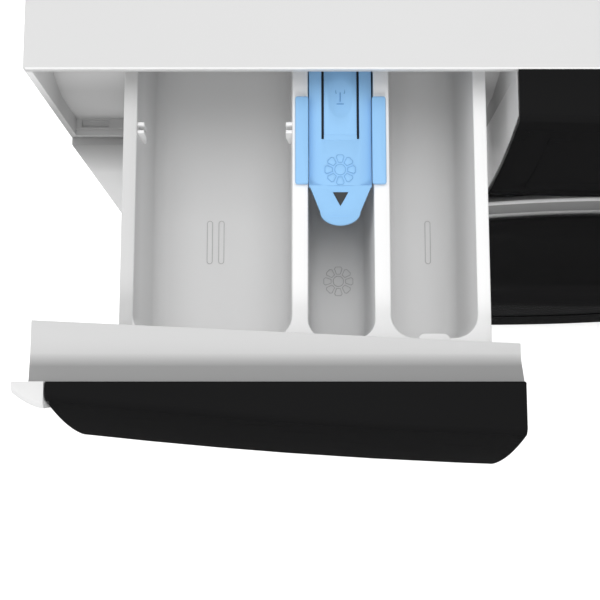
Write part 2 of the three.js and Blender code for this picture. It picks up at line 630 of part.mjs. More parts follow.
// ---- Tub, drum and drive ----
function addTub() {
  const frontShell = turnedAlongDepth(closed([
    [170, 60], [TUB_RADIUS, 66], [TUB_RADIUS, TUB_SPLIT],
    [TUB_RADIUS - TUB_WALL, TUB_SPLIT], [TUB_RADIUS - TUB_WALL, 69], [170, 63],
  ]), 0, AXIS_Z, ROUND);
  add("tub_front_shell", frontShell, POLYMER);

  const start = TUB_SPLIT + GAP;
  const rearShell = turnedAlongDepth(closed([
    [TUB_RADIUS, start], [TUB_RADIUS, 470], [60, 480], [42, 498], [18, 498], [18, 470],
    [TUB_RADIUS - TUB_WALL, 466], [TUB_RADIUS - TUB_WALL, start],
  ]), 0, AXIS_Z, ROUND);
  const lugs = [-1, 1].map((side) => {
    const [x0, x1] = [side * 228, side * 290].sort((a, b) => a - b);
    return block(x0, x1, SUSPENSION_B - 7, SUSPENSION_B + 7, SPRING_BOTTOM - 8, SPRING_BOTTOM);
  });
  const damperLugs = [-1, 1].map((side) => (
    block(
      side * DAMPER_X - 14, side * DAMPER_X + 14,
      DAMPER_B - 14, DAMPER_B + 14,
      DAMPER_LUG_Z, DAMPER_LUG_Z + 22,
    )));
  const inside = turnedAlongDepth(rod(TUB_RADIUS - 3.2, TUB_SPLIT, 466), 0, AXIS_Z, ROUND);
  const heaterHoles = [-25, 25].map((x) => turnedAlongDepth(rod(4.6, 460, 490), x, HEATER_Z, 10));
  const shell = union(rearShell, cut(union(...lugs, ...damperLugs), inside));
  add("tub_rear_shell", cut(shell, ...heaterHoles), POLYMER);

  const loop = [[-25, 484], [-25, 400], [-25, 240], [0, 215], [25, 240], [25, 400], [25, 484]];
  add("heating_element", hose(loop.map(([x, b]) => [x, b, HEATER_Z]), 4, 8, 26), STEEL);

  add("front_counterweight", turnedAlongDepth(tube(205, 252, 38, 58), 0, AXIS_Z, ROUND), CAST_IRON);
  add("upper_counterweight", block(-60, 150, 120, 290, 729, 769), CAST_IRON);
}

const THIRD_TURN = (2 * Math.PI) / 3;
const lifterTurn = (k) => Math.PI / 2 + k * THIRD_TURN;

// A prism along the drum's axis; its outline holds [across, out from the axis], turned by an angle.
function radialPrism(turn, outline, b0, b1) {
  const placed = outline.map(([across, out]) => [
    out * Math.cos(turn) - across * Math.sin(turn),
    AXIS_Z + out * Math.sin(turn) + across * Math.cos(turn),
  ]);
  return prismAlongDepth(placed, b0, b1);
}

function addDrum() {
  const shell = [
    [0, 450.4], [232, 450.4], [DRUM_RADIUS, 443], [DRUM_RADIUS, 91], [233, 84], [172, 84], [172, 85.4],
    [232.4, 85.4], [DRUM_RADIUS - 1.4, 91.6], [DRUM_RADIUS - 1.4, 442.4], [231.4, 449], [0, 449],
  ];
  // The lifters' feet sink into the shell's wall, which they are riveted to.
  const lifters = [0, 1, 2].map((k) => (
    radialPrism(lifterTurn(k), [[-34, 237], [34, 237], [12, 190], [-12, 190]], 100, 430)));
  const lifterHollows = [0, 1, 2].map((k) => (
    radialPrism(lifterTurn(k), [[-30, 234], [30, 234], [9.5, 193], [-9.5, 193]], 103, 435)));
  const hollowed = cut(union(...lifters), ...lifterHollows);
  add("drum_shell", union(turnedAlongDepth(shell, 0, AXIS_Z, ROUND), hollowed), STEEL);

  const arms = [0, 1, 2].map((k) => (
    radialPrism(Math.PI / 6 + k * THIRD_TURN, [[-16, 0], [16, 0], [12, 222], [-12, 222]], 451, 460)));
  const hub = turnedAlongDepth([
    [0, 451], [52, 451], [40, 464], [17, 466], [12.5, 468], [12.5, 524], [0, 524],
  ], 0, AXIS_Z, 24);
  add("drum_spider", union(hub, ...arms), ALUMINIUM);
  add("drum_bearing", turnedAlongDepth(tube(13, 17.6, 471, 497), 0, AXIS_Z, 24), STEEL);

  const wheel = turnedAlongDepth(closed([
    [13, 502], [24, 508], [PULLEY_RADIUS - 8, 508], [PULLEY_RADIUS, 504], [PULLEY_RADIUS, 520],
    [PULLEY_RADIUS - 8, 512], [24, 512], [13, 520],
  ]), 0, AXIS_Z, ROUND);
  const windows = [0, 1, 2].map((k) => radialPrism(
    k * THIRD_TURN,
    [[-45, 40], [45, 40], [60, 100], [-60, 100]],
    500,
    530,
  ));
  add("drum_pulley", cut(wheel, ...windows), ALUMINIUM);
}

// The belt runs straight between its two arcs, round both pulleys.
function beltOutline(offset) {
  const distance = AXIS_Z - MOTOR_Z;
  const large = PULLEY_RADIUS + offset;
  const small = MOTOR_PULLEY_RADIUS + offset;
  const lean = Math.asin((large - small) / distance);
  const points = [];
  for (const turn of stationsBetween(-lean, Math.PI + lean, 26)) {
    points.push([large * Math.cos(turn), AXIS_Z + large * Math.sin(turn)]);
  }
  for (const turn of stationsBetween(Math.PI + lean, 2 * Math.PI - lean, 8)) {
    points.push([small * Math.cos(turn), MOTOR_Z + small * Math.sin(turn)]);
  }
  return points;
}

function addDrive() {
  add("drive_belt", prismAlongDepth(beltOutline(4), 506, 518, beltOutline(1)), RUBBER);
  const body = turnedAlongDepth([
    [0, 330], [50, 330], [66, 340], [66, 470], [50, 482], [0, 482],
  ], 0, MOTOR_Z, 24);
  const tubBottom = AXIS_Z - TUB_RADIUS;
  const hangers = [350, 440].map((b) => block(-22, 22, b, b + 16, MOTOR_Z + 50, tubBottom - 2 * GAP));
  add("motor", union(body, ...hangers), ALUMINIUM);
  const pulley = [
    [0, 482 + GAP], [5, 482 + GAP], [5, 503],
    [MOTOR_PULLEY_RADIUS, 503], [MOTOR_PULLEY_RADIUS, 521], [0, 521],
  ];
  add("motor_pulley", turnedAlongDepth(pulley, 0, MOTOR_Z, 24), STEEL);
}

function addSuspension() {
  for (const [side, word] of [[-1, "left"], [1, "right"]]) {
    const coil = rod(8, SPRING_BOTTOM + GAP, SPRING_TOP - GAP);
    add(`spring_${word}`, turnedUpright(coil, side * SUSPENSION_X, SUSPENSION_B, 12), STEEL);
    add(`damper_cylinder_${word}`, turnedUpright([
      [0, 26 + GAP], [15, 26 + GAP], [15, 190], [7, 190], [7, 60], [0, 60],
    ], side * DAMPER_X, DAMPER_B, 16), RUBBER);
    const piston = rod(6, 90, DAMPER_LUG_Z - GAP);
    add(`damper_rod_${word}`, turnedUpright(piston, side * DAMPER_X, DAMPER_B, 12), STEEL);
  }
}

// ---- Water ways ----
function addWaterWays() {
  const body = union(
    turnedAlongDepth(rod(30, 62, 130), PUMP.x, PUMP.z, 20),
    turnedAlongDepth(rod(27, 10, 63), PUMP.x, PUMP.z, 20),
    turnedUpright(rod(15, 62, 110), 180, 96),
  );
  const filterBore = turnedAlongDepth(rod(24, 5, 110), PUMP.x, PUMP.z, 20);
  add("drain_pump", cut(body, filterBore), POLYMER);
  const filter = union(
    turnedAlongDepth(rod(23.2, 9, 60), PUMP.x, PUMP.z, 20),
    block(203, 209, 3, 10, 44, 80),
  );
  add("pump_filter", filter, BLACK);
  const flap = block(150.6, 261.4, PANEL_PLANE, PANEL_PLANE + 2.5, 32.6, 87.4);
  const flapGrip = block(196, 216, PANEL_PLANE - 1, PANEL_PLANE + 1.2, 80, 86);
  add("pump_flap", cut(flap, flapGrip), WHITE);

  const sumpLine = [[150, 180, 239], [150, 178, 208], [162, 135, 165], [179, 97, 135], [180, 96, 111]];
  add("sump_hose", hose(sumpLine, 13, 8, 10), RUBBER);
  const spout = [[0, 515], [12, 515], [12, 552], [10, 562], [0, 562]];
  add("drain_outlet", turnedAlongDepth(spout, OUTLET.x, OUTLET.z, 12), POLYMER);
}

addWorktop();
addSidePanel("left_side_panel", -1);
addSidePanel("right_side_panel", 1);
addFrontPanel();
addRear();
addBase();
addFeet();
addFascia();
addControls();
addFrontFittings();
addDispenserHousing();
addDrawerFront();
addDrawerTray();
addSiphonInsert();
addDoor();
addGasket();
addTub();
addDrum();
addDrive();
addSuspension();
addWaterWays();

export default machine;
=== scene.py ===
"""Looks of the front load washing machine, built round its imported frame. Metres, +Z up, front towards -Y."""

import json
from math import cos, pi, radians, sin

import bmesh
import bpy
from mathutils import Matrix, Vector


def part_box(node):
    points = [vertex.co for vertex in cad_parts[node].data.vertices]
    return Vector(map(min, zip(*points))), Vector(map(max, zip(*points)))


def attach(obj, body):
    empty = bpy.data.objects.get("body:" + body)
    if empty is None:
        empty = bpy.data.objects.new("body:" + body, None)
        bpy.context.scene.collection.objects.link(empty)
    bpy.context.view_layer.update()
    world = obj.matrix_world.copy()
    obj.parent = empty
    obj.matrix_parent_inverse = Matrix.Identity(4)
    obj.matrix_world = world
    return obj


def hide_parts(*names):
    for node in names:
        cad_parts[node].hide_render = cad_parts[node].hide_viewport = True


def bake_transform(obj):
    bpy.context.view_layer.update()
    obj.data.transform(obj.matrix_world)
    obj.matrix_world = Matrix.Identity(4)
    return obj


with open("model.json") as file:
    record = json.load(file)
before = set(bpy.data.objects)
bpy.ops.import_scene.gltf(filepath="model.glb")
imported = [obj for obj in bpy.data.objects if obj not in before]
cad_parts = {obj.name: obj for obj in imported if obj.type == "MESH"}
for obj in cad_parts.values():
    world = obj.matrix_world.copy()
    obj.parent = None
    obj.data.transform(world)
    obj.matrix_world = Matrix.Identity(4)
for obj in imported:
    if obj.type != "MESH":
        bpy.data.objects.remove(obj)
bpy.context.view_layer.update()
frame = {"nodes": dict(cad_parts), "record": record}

# ---- Places, from the frame ----
MM = 0.001
TOP_LOW, TOP_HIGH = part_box("worktop")
FRONT_Y = TOP_LOW.y  # the worktop's front edge; b is millimetres behind it
TOP_Z = TOP_HIGH.z / MM
HALF = TOP_HIGH.x / MM
DRUM_Z = (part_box("drum_pulley")[0].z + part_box("drum_pulley")[1].z) / 2 / MM
COVER_LOW, COVER_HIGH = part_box("drawer_front_cover")
TRAVEL = (FRONT_Y - COVER_HIGH.y) / MM  # how far the drawer is out
COVER_LEFT = COVER_LOW.x / MM
DRAWER_RIGHT = COVER_HIGH.x / MM
OVERLAY_BOTTOM = COVER_LOW.z / MM
TRAY_LOW, TRAY_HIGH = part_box("drawer_tray")
PANEL_FACE = (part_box("front_panel")[0].y - FRONT_Y) / MM


def at(x, b, z):
    """A point from millimetres: across, behind the worktop's front edge, up."""
    return Vector((x * MM, FRONT_Y + b * MM, z * MM))


def opened(b):
    """Where a depth on the shut drawer is with the drawer out."""
    return b - TRAVEL


def spread(start, end, count):
    """Evenly spaced numbers from start to end, both included."""
    return [start + (end - start) * k / count for k in range(count + 1)]


def turns(count, first=0.0):
    """Even turns of a circle; first shifts them by a part of one step."""
    return [2 * pi * (k + first) / count for k in range(count)]


def circle(x, y, radius, count=24):
    """Points round a circle, for an outline on a floor or on a face."""
    return [(x + radius * cos(t), y + radius * sin(t)) for t in turns(count)]


def new_object(name, data):
    obj = bpy.data.objects.new(name, data)
    bpy.context.scene.collection.objects.link(obj)
    return obj


# ---- Camera ----
CAMERA_RISE = 448  # above the worktop
CAMERA_X = -181.5
CAMERA_AHEAD = 163.4  # in front of the worktop's front edge
CAMERA_TILT = 8.2  # degrees from straight down, towards the back
CAMERA_LENS = 66.2


def add_camera():
    data = bpy.data.cameras.new("camera")
    data.lens = CAMERA_LENS
    data.sensor_width = 36
    data.clip_start = 0.01
    camera = new_object("camera", data)
    camera.location = at(CAMERA_X, -CAMERA_AHEAD, TOP_Z + CAMERA_RISE)
    camera.rotation_euler = (radians(CAMERA_TILT), 0, 0)
    bpy.context.scene.camera = camera


add_camera()


# ---- Materials ----
def plug(tree, value, socket):
    """Set a socket to a plain value, or link another node's output to it."""
    if isinstance(value, bpy.types.NodeSocket):
        tree.links.new(value, socket)
    else:
        socket.default_value = value


def fill(tree, made, values):
    """Plug each value into the input of that name, where _ stands for a space."""
    for name, value in values.items():
        plug(tree, value, made.inputs[name.replace("_", " ")])


def output_of(tree, kind, output, **values):
    """A new shader node with its inputs filled, as one of its outputs."""
    made = tree.nodes.new(f"ShaderNode{kind}")
    fill(tree, made, values)
    return made.outputs[output]


def mixed(tree, blend, **values):
    mix = tree.nodes.new("ShaderNodeMix")
    mix.data_type = "RGBA"
    mix.blend_type = blend
    fill(tree, mix, values)
    return mix.outputs["Result"]


def base_color(tree):
    return tree.nodes["Principled BSDF"].inputs["Base Color"]


def surface(name, color, roughness, variation=0.02, grain=900, bump=0.04, depth=0.0002, **sockets):
    """A moulded or painted finish: a slow drift of tone, uneven gloss and a fine grain in the normal.

    The colour is one number where it is a grey."""
    made = bpy.data.materials.new(name)
    made.use_nodes = True
    tree = made.node_tree
    color = [color] * 3 if isinstance(color, float) else color
    place = output_of(tree, "TexCoord", "Object")

    def noise(scale, detail):
        return output_of(tree, "TexNoise", "Fac", Vector=place, Scale=scale, Detail=detail)

    low, high = [(*[min(c * k, 1) for c in color], 1) for k in (1 - variation, 1 + variation)]
    tone = mixed(tree, "MIX", Factor=noise(9, 3), A=low, B=high)
    gloss = output_of(tree, "MapRange", "Result", Value=noise(38, 4), To_Min=roughness * 0.88,
                      To_Max=min(roughness * 1.12, 1))
    relief = output_of(tree, "Bump", "Normal", Height=noise(grain, 2), Strength=bump, Distance=depth)
    finish = {"Base_Color": tone, "Roughness": gloss, "Normal": relief, **sockets}
    fill(tree, tree.nodes["Principled BSDF"], finish)
    return made


def shaded(material, axis, start, end, darkest):
    """Let a finish darken evenly from start to end along an axis, as light fades in a deep shape."""
    tree = material.node_tree
    place = output_of(tree, "SeparateXYZ", axis, Vector=output_of(tree, "TexCoord", "Object"))
    fade = output_of(tree, "MapRange", "Result", Value=place, From_Min=start, From_Max=end, To_Min=1.0,
                     To_Max=darkest)
    even = base_color(tree).links[0].from_socket
    plug(tree, mixed(tree, "MULTIPLY", Factor=1, A=even, B=fade), base_color(tree))
    return material


def brushed(name, color, roughness, along):
    """Metal with fine lines along one axis: 0 across, 1 front to back, 2 upright."""
    made = surface(name, color, roughness, variation=0.05, bump=0.02, Metallic=0.8)
    tree = made.node_tree
    scale = [700.0, 700.0, 700.0]
    scale[along] = 6.0
    place = output_of(tree, "TexCoord", "Object")
    stretched = output_of(tree, "Mapping", "Vector", Vector=place, Scale=scale)
    lines = output_of(tree, "TexNoise", "Fac", Vector=stretched, Scale=1)
    fill(tree, next(n for n in tree.nodes if n.type == "BUMP"), {"Strength": 0.15, "Height": lines})
    return made


HOLES_FROM = 0.2365  # the drum's wall is farther out than this from its axis, its back isn't


def perforated(name, pitch, radius):
    """Brushed sheet with rows of round holes: dark discs at an even pitch round the drum's axis."""
    made = brushed(name, (0.6, 0.6, 0.62), 0.24, 1)
    tree = made.node_tree

    def sum_up(operation, *inputs):
        step = tree.nodes.new("ShaderNodeMath")
        step.operation = operation
        for socket, value in zip(step.inputs, inputs):
            plug(tree, value, socket)
        return step.outputs["Value"]

    def length(a, b):
        return sum_up("SQRT", sum_up("ADD", sum_up("MULTIPLY", a, a), sum_up("MULTIPLY", b, b)))

    place = output_of(tree, "TexCoord", "Object")
    x, y, z = [output_of(tree, "SeparateXYZ", axis, Vector=place) for axis in "XYZ"]
    height = sum_up("SUBTRACT", z, DRUM_Z * MM)
    around = sum_up("MULTIPLY", sum_up("ARCTAN2", x, height), 0.24 / pitch)
    along = sum_up("DIVIDE", y, pitch)
    shifted = sum_up("ADD", around, sum_up("MULTIPLY", sum_up("FLOOR", along), 0.5))
    u, v = [sum_up("SUBTRACT", sum_up("FRACT", way), 0.5) for way in (shifted, along)]
    in_disc = sum_up("LESS_THAN", length(u, v), radius / pitch)
    on_wall = sum_up("GREATER_THAN", length(x, height), HOLES_FROM)
    hole = sum_up("MULTIPLY", in_disc, on_wall)
    steel = base_color(tree).links[0].from_socket
    holed = mixed(tree, "MIX", Factor=hole, A=steel, B=(0.015, 0.015, 0.016, 1))
    plug(tree, holed, base_color(tree))
    return made


WHITE_ENAMEL = surface("white_enamel", 0.76, 0.32, grain=520, bump=0.05)
WORKTOP_WHITE = surface("worktop_white", 0.68, 0.4, grain=1400, bump=0.05, Specular_IOR_Level=0.3)
# Front panel white with painted shade: darker towards its top edge, as the shadow under the fascia and drawer
PANEL_WHITE_PAINTED_SHADE = shaded(
    surface("panel_white", 0.76, 0.32, grain=520, bump=0.05), "Z", 0.69, 0.745, 0.42)
# Fascia white with painted shade: darker downwards from 843 to 790 mm, the shade in the recess under the
# worktop
FASCIA_WHITE_PAINTED_SHADE = shaded(
    surface("fascia_white_painted_shade", 0.93, 0.38, grain=1100, bump=0.05), "Z", 0.843, 0.79, 0.48)
WHITE_PLASTIC = surface("white_plastic", 0.83, 0.38, grain=1100, bump=0.05)
DRAWER_WHITE = surface("drawer_white", 0.89, 0.42, grain=1500, bump=0.04, Specular_IOR_Level=0.3)
# Tray white with painted shade: darker towards the compartment floors
TRAY_WHITE_PAINTED_SHADE = shaded(
    surface("tray_white_painted_shade", 0.9, 0.42, grain=1500, bump=0.04, Specular_IOR_Level=0.3),
    "Z", TRAY_HIGH.z - 2 * MM, TRAY_LOW.z + 6 * MM, 0.84)
# More painted shade: the top of the tray's left wall is darker
shaded(TRAY_WHITE_PAINTED_SHADE, "X", TRAY_LOW.x + 6.4 * MM, TRAY_LOW.x + 5.6 * MM, 0.72)
# Flange white with painted shade: a lower tone, growing darker towards the black cover where its cove is
# shaded
FLANGE_WHITE_PAINTED_SHADE = shaded(
    surface("flange_white_painted_shade", 0.65, 0.36, grain=1500, bump=0.04, Specular_IOR_Level=0.3),
    "Y", at(0, opened(11.8), 0).y, at(0, opened(6.2), 0).y, 0.54)
# A brighter white for painted light: the highlight along the worktop's front edge and the lit end face of the
# fascia
PAINTED_LIGHT_WHITE = surface("painted_light_white", 0.9, 0.3, grain=1500, bump=0.03)
# A greyer copy of the drawer's white for the end cap: painted shade on its curved end
END_WHITE_PAINTED_SHADE = surface("end_white_painted_shade", 0.78, 0.3, grain=1500, bump=0.03)
GLOSS_BLACK = surface(
    "gloss_black", (0.0095, 0.0095, 0.0098), 0.16, variation=0.1, bump=0.004, Specular_IOR_Level=0.07)
# Grey plastic: the own grey of the door's rear ring and the filter, and also painted shade in the ledge's slot
GREY_PLASTIC_AND_SHADE = surface("grey_plastic", 0.36, 0.45, grain=1200, bump=0.08)
BLUE_PLASTIC = surface("blue_plastic", (0.3, 0.56, 0.87), 0.3, bump=0.03, Specular_IOR_Level=0.35)
BLUE_SHADE = surface("blue_shade", (0.13, 0.32, 0.6), 0.35, bump=0.02)
# A darker blue for lines round the insert's flower: painted shade along its edges
PAINTED_BLUE_EDGE_SHADE = surface("painted_blue_edge_shade", (0.2, 0.42, 0.7), 0.35, bump=0.02)
# Grey lines round the tray's raised marks: painted shade along their edges
PAINTED_EDGE_SHADE = surface("painted_edge_shade", 0.47, 0.45, bump=0.0)
# A light grey for the door's beads: painted highlight along the bevelled edges of the grey rear ring
BEAD_PAINTED_HIGHLIGHT = surface("bead_painted_highlight", 0.8, 0.35, grain=1200, bump=0.05)
MARK_WHITE = surface("mark_white", 0.75, 0.5, bump=0.0)
RUBBER_PALE = surface("rubber_pale", (0.2, 0.2, 0.205), 0.6, grain=1600, bump=0.1)
# Near-black: the inlet coil's own colour, and painted shade in the insert's slits and under its triangle
# window
DARK_AND_PAINTED_SHADE = surface("dark_and_painted_shade", (0.055, 0.057, 0.058), 0.6)
INNER_POLYMER = surface("inner_polymer", (0.52, 0.53, 0.52), 0.55, grain=700, bump=0.12)
RUBBER_GREY = surface("rubber_grey", (0.1, 0.1, 0.105), 0.7, grain=1800, bump=0.15)
STAINLESS = brushed("stainless", (0.58, 0.58, 0.6), 0.26, 1)
ZINC_STEEL = brushed("zinc_steel", (0.5, 0.51, 0.53), 0.38, 2)
PERFORATED = perforated("perforated_drum", 0.016, 0.0023)
CAST_ALUMINIUM = surface("cast_aluminium", (0.5, 0.5, 0.51), 0.5, grain=400, bump=0.35, Metallic=0.9)
CAST_IRON = surface("cast_iron", (0.12, 0.12, 0.125), 0.8, grain=260, bump=0.6, Metallic=0.4)
SMOKED_GLASS = surface(
    "smoked_glass", (0.012, 0.012, 0.013), 0.08, bump=0.0, Transmission_Weight=0.2, Specular_IOR_Level=0.1)
CLEAR_GLASS = surface(
    "clear_glass", (0.86, 0.93, 0.95), 0.04, variation=0.005, bump=0.0, Transmission_Weight=0.9, IOR=1.47)
LOOKS = {
    "white_enamel": WHITE_ENAMEL, "white_worktop": WORKTOP_WHITE, "white_plastic": WHITE_PLASTIC,
    "drawer_white": DRAWER_WHITE, "gloss_black": GLOSS_BLACK, "grey_plastic": GREY_PLASTIC_AND_SHADE,
    "blue_plastic": BLUE_PLASTIC, "smoked_glass": SMOKED_GLASS, "clear_glass": CLEAR_GLASS,
    "inner_polymer": INNER_POLYMER, "rubber_grey": RUBBER_GREY, "stainless": STAINLESS,
    "zinc_steel": ZINC_STEEL, "cast_aluminium": CAST_ALUMINIUM, "cast_iron": CAST_IRON,
}
SLOT_OF = {row["node"]: row["material_slot"] for row in frame["record"]["subparts"]}
BODY_OF = {node: body for body, members in frame["record"]["behaviour"]["bodies"].items() for node in members}
made_for = set()


# ---- Mesh tools ----
def new_mesh(name, points, faces):
    mesh = bpy.data.meshes.new(name)
    mesh.from_pydata([tuple(p) for p in points], [], faces)
    shape = bmesh.new()
    shape.from_mesh(mesh)
    bmesh.ops.remove_doubles(shape, verts=shape.verts, dist=1e-6)
    bmesh.ops.recalc_face_normals(shape, faces=shape.faces)
    shape.to_mesh(mesh)
    shape.free()
    return new_object(name, mesh)


def ring_faces(rings, size, closed):
    """Quads between rings of points; closed also joins each ring's ends."""
    faces = []
    for k in range(rings - 1):
        for i in range(size if closed else size - 1):
            j = (i + 1) % size
            faces.append((k * size + i, k * size + j, (k + 1) * size + j, (k + 1) * size + i))
    return faces


def turned(name, profile, x=0.0, z=None, sides=128, upright=None, closed=True):
    """A body of revolution. The profile holds (radius, b), or (radius, height) where upright gives its b."""
    z = DRUM_Z if z is None else z
    points = []
    for k in range(sides + 1):
        turn = 2 * pi * k / sides
        for r, along in profile:
            if upright is None:
                points.append(at(x + r * sin(turn), along, z + r * cos(turn)))
            else:
                points.append(at(x + r * sin(turn), upright + r * cos(turn), along))
    return new_mesh(name, points, ring_faces(sides + 1, len(profile), closed))


def lofted(name, sections):
    """A body through closed sections of points, capped at both ends."""
    size = len(sections[0])
    points = [p for section in sections for p in section]
    faces = ring_faces(len(sections), size, True)
    faces.append(tuple(range(size)))
    faces.append(tuple((len(sections) - 1) * size + i for i in range(size)))
    return new_mesh(name, points, faces)


def box(name, x0, x1, b0, b1, z0, z1):
    return lofted(name, [[at(x0, b0, z), at(x1, b0, z), at(x1, b1, z), at(x0, b1, z)] for z in (z0, z1)])


def rounded(x0, x1, b0, b1, radius, steps=6):
    """A rectangle with round corners, as a list of (x, b); radius may be one number or four."""
    radii = [radius] * 4 if isinstance(radius, (int, float)) else radius
    corners = [(x1, b1, -1, -1), (x0, b1, 1, -1), (x0, b0, 1, 1), (x1, b0, -1, 1)]
    outline = []
    for quarter, ((x, b, right, back), r) in enumerate(zip(corners, radii)):
        for k in range(steps + 1):
            turn = pi / 2 * (quarter + k / steps)
            outline.append((x + right * r + r * cos(turn), b + back * r + r * sin(turn)))
    return outline


def standing(name, outline, z0, z1):
    """A prism whose (x, b) outline stands from z0 to z1."""
    return lofted(name, [[at(x, b, z) for x, b in outline] for z in (z0, z1)])


def evaluated_mesh(obj):
    graph = bpy.context.evaluated_depsgraph_get()
    graph.update()
    return bpy.data.meshes.new_from_object(obj.evaluated_get(graph))


def apply_modifiers(obj):
    made = evaluated_mesh(obj)
    obj.modifiers.clear()
    obj.data = made


def join_or_cut(obj, operation, tools):
    for tool in tools:
        step = obj.modifiers.new("step", "BOOLEAN")
        step.operation = operation
        step.solver = "EXACT"
        step.object = tool
        apply_modifiers(obj)
        bpy.data.objects.remove(tool)
    return obj


def cut(obj, *tools):
    return join_or_cut(obj, "DIFFERENCE", tools)


def fuse(obj, *tools):
    return join_or_cut(obj, "UNION", tools)


def soften(obj, width, segments=2, angle=30):
    """Round the sharp edges, as moulded, pressed and folded ones are."""
    shape = bmesh.new()
    shape.from_mesh(obj.data)
    bmesh.ops.remove_doubles(shape, verts=shape.verts, dist=2e-6)
    bmesh.ops.dissolve_limit(shape, angle_limit=radians(0.6), verts=shape.verts, edges=shape.edges)
    shape.to_mesh(obj.data)
    shape.free()
    edge = obj.modifiers.new("edge", "BEVEL")
    edge.width = width * MM
    edge.segments = segments
    edge.limit_method = "ANGLE"
    edge.angle_limit = radians(angle)
    edge.use_clamp_overlap = True
    apply_modifiers(obj)
    return obj


def swept(name, stations, section):
    """A body along X whose closed (b, z) section may change from station to station."""
    return lofted(name, [[at(x, b, z) for b, z in section(x)] for x in stations])


def curved(points, steps=5):
    """A smooth line through the points, for profiles and routes."""
    line = []
    ends = [points[0], *points, points[-1]]
    for before, start, end, after in zip(ends, ends[1:], ends[2:], ends[3:]):
        for k in range(steps):
            t = k / steps
            line.append(tuple(
                0.5 * (2 * b + (c - a) * t + (2 * a - 5 * b + 4 * c - d) * t * t
                       + (3 * b - a - 3 * c + d) * t * t * t)
                for a, b, c, d in zip(before, start, end, after)))
    return [*line, tuple(points[-1])]


def wire(name, line, radius, ripple=0.0, around=3):
    """A round bar or hose along (x, b, z) points; ripple makes every other point thinner."""
    data = bpy.data.curves.new(f"{name}_line", "CURVE")
    data.dimensions = "3D"
    data.bevel_depth = radius * MM
    data.bevel_resolution = around
    data.use_fill_caps = True
    spline = data.splines.new("POLY")
    spline.points.add(len(line) - 1)
    for k, (point, place) in enumerate(zip(spline.points, line)):
        point.co = (*at(*place), 1)
        point.radius = 1 - ripple * (k % 2)
    route = new_object(f"{name}_line", data)
    mesh = evaluated_mesh(route)
    bpy.data.objects.remove(route)
    return new_object(name, mesh)


def evenly(line, gap):
    """The same route with its points gap millimetres apart."""
    places = [Vector(p) for p in line]
    spaced, left = [places[0]], gap
    for start, end in zip(places, places[1:]):
        stretch = (end - start).length
        while left <= stretch:
            spaced.append(start + (end - start) * left / stretch)
            left += gap
        left -= stretch
    return [tuple(p) for p in spaced]


def fine_copy(node, width=0.4, segments=2):
    """A CAD node's own shape with rounded edges."""
    return soften(new_object(f"{node}_fine", frame["nodes"][node].data.copy()), width, segments)


def shade(obj, look, angle=38):
    obj.data.materials.clear()
    obj.data.materials.append(look)
    obj.data.shade_smooth()
    obj.data.set_sharp_from_angle(angle=radians(angle))


def stand_for(nodes):
    for node in nodes:
        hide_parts(node)
        made_for.add(node)


def dress(obj, look, nodes=(), body=None, angle=38):
    """Give a piece its material and shading, and let it ride where its CAD nodes do."""
    nodes = [nodes] if isinstance(nodes, str) else nodes
    shade(obj, look, angle)
    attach(obj, body or BODY_OF[nodes[0]])
    stand_for(nodes)
    return obj


def dress_copy(node, look=None, width=0.4, segments=2, angle=38):
    """Show a CAD node's own shape with its edges rounded."""
    dress(fine_copy(node, width, segments), look or LOOKS[SLOT_OF[node]], node, angle=angle)


def dress_between(obj, look, nodes=()):
    """A flexible piece: its material and shading, its place baked into its mesh, in place of its CAD nodes; it
    follows no body.
    """
    shade(obj, look)
    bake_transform(obj)
    stand_for(nodes)


# ---- The face shared by the fascia and the drawer front ----
CREASE_Z = TOP_Z - 2
GAP = 0.3
COVER_THICKNESS = 2.5


def face(x, z):
    """How far back the bowed face lies at a place; it is negative, in front of the worktop's edge."""
    drop = CREASE_Z - z
    return -(24 - x * x / 5208 + 0.2476 * drop - 0.001265 * drop * drop)


FACE_HEIGHTS = spread(CREASE_Z, OVERLAY_BOTTOM, 12)


def cover_section(x, rear):
    """The black cover: a flat top, a crease and the bowed face, one thickness deep."""
    outer = [(face(x, z), z) for z in FACE_HEIGHTS]
    inner = [(face(x, z) + COVER_THICKNESS, min(z, TOP_Z - 3)) for z in reversed(FACE_HEIGHTS)]
    return [(rear, TOP_Z), (face(x, CREASE_Z) + COVER_THICKNESS, TOP_Z), *outer, *inner, (rear, TOP_Z - 3)]


# ---- Detergent drawer ----
RIM_Z = TRAY_HIGH.z / MM
TRAY_FLOOR = TRAY_LOW.z / MM + 3
COMPARTMENTS = ((-253.3, -184.9, 10), (-178.0, -149.2, 8), (-142.3, -105.1, 10))  # left, right, corner
POCKET_FRONT = -112
POCKET_REAR = 158
INSERT_X = -163.8
INSERT_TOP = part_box("siphon_insert")[1].z / MM


def pocket(x0, x1, corner, fillet=6, draft=1.2):
    """The hollow of one compartment: round corners, drafted walls and a filleted floor."""
    levels = [(RIM_Z + 6, 0.0), (RIM_Z - 1, 0.0), (TRAY_FLOOR + fillet, draft)]
    for turn in spread(0, pi / 2, 6)[1:]:
        levels.append((TRAY_FLOOR + fillet * (1 - sin(turn)), draft + fillet * (1 - cos(turn))))
    sections = []
    for z, inset in levels:
        outline = rounded(x0 + inset, x1 - inset, POCKET_FRONT + inset, POCKET_REAR - inset,
                          max(corner - inset * 0.6, 2), 8)
        sections.append([at(x, b, z) for x, b in outline])
    return lofted("pocket", sections)


def raised_bar(name, x, b0, b1, width, z):
    outline = rounded(x - width / 2, x + width / 2, b0, b1, width / 2 - 0.01)
    return soften(standing(name, outline, z - 0.3, z + 0.15), 0.1)


def outlined(name, places, z, look, radius=0.17):
    """A thin line of painted edge shade round a closed outline of (x, b) places."""
    line = [(x, b, z) for x, b in places]
    dress(wire(name, [*line, line[0]], radius), look, body="drawer")


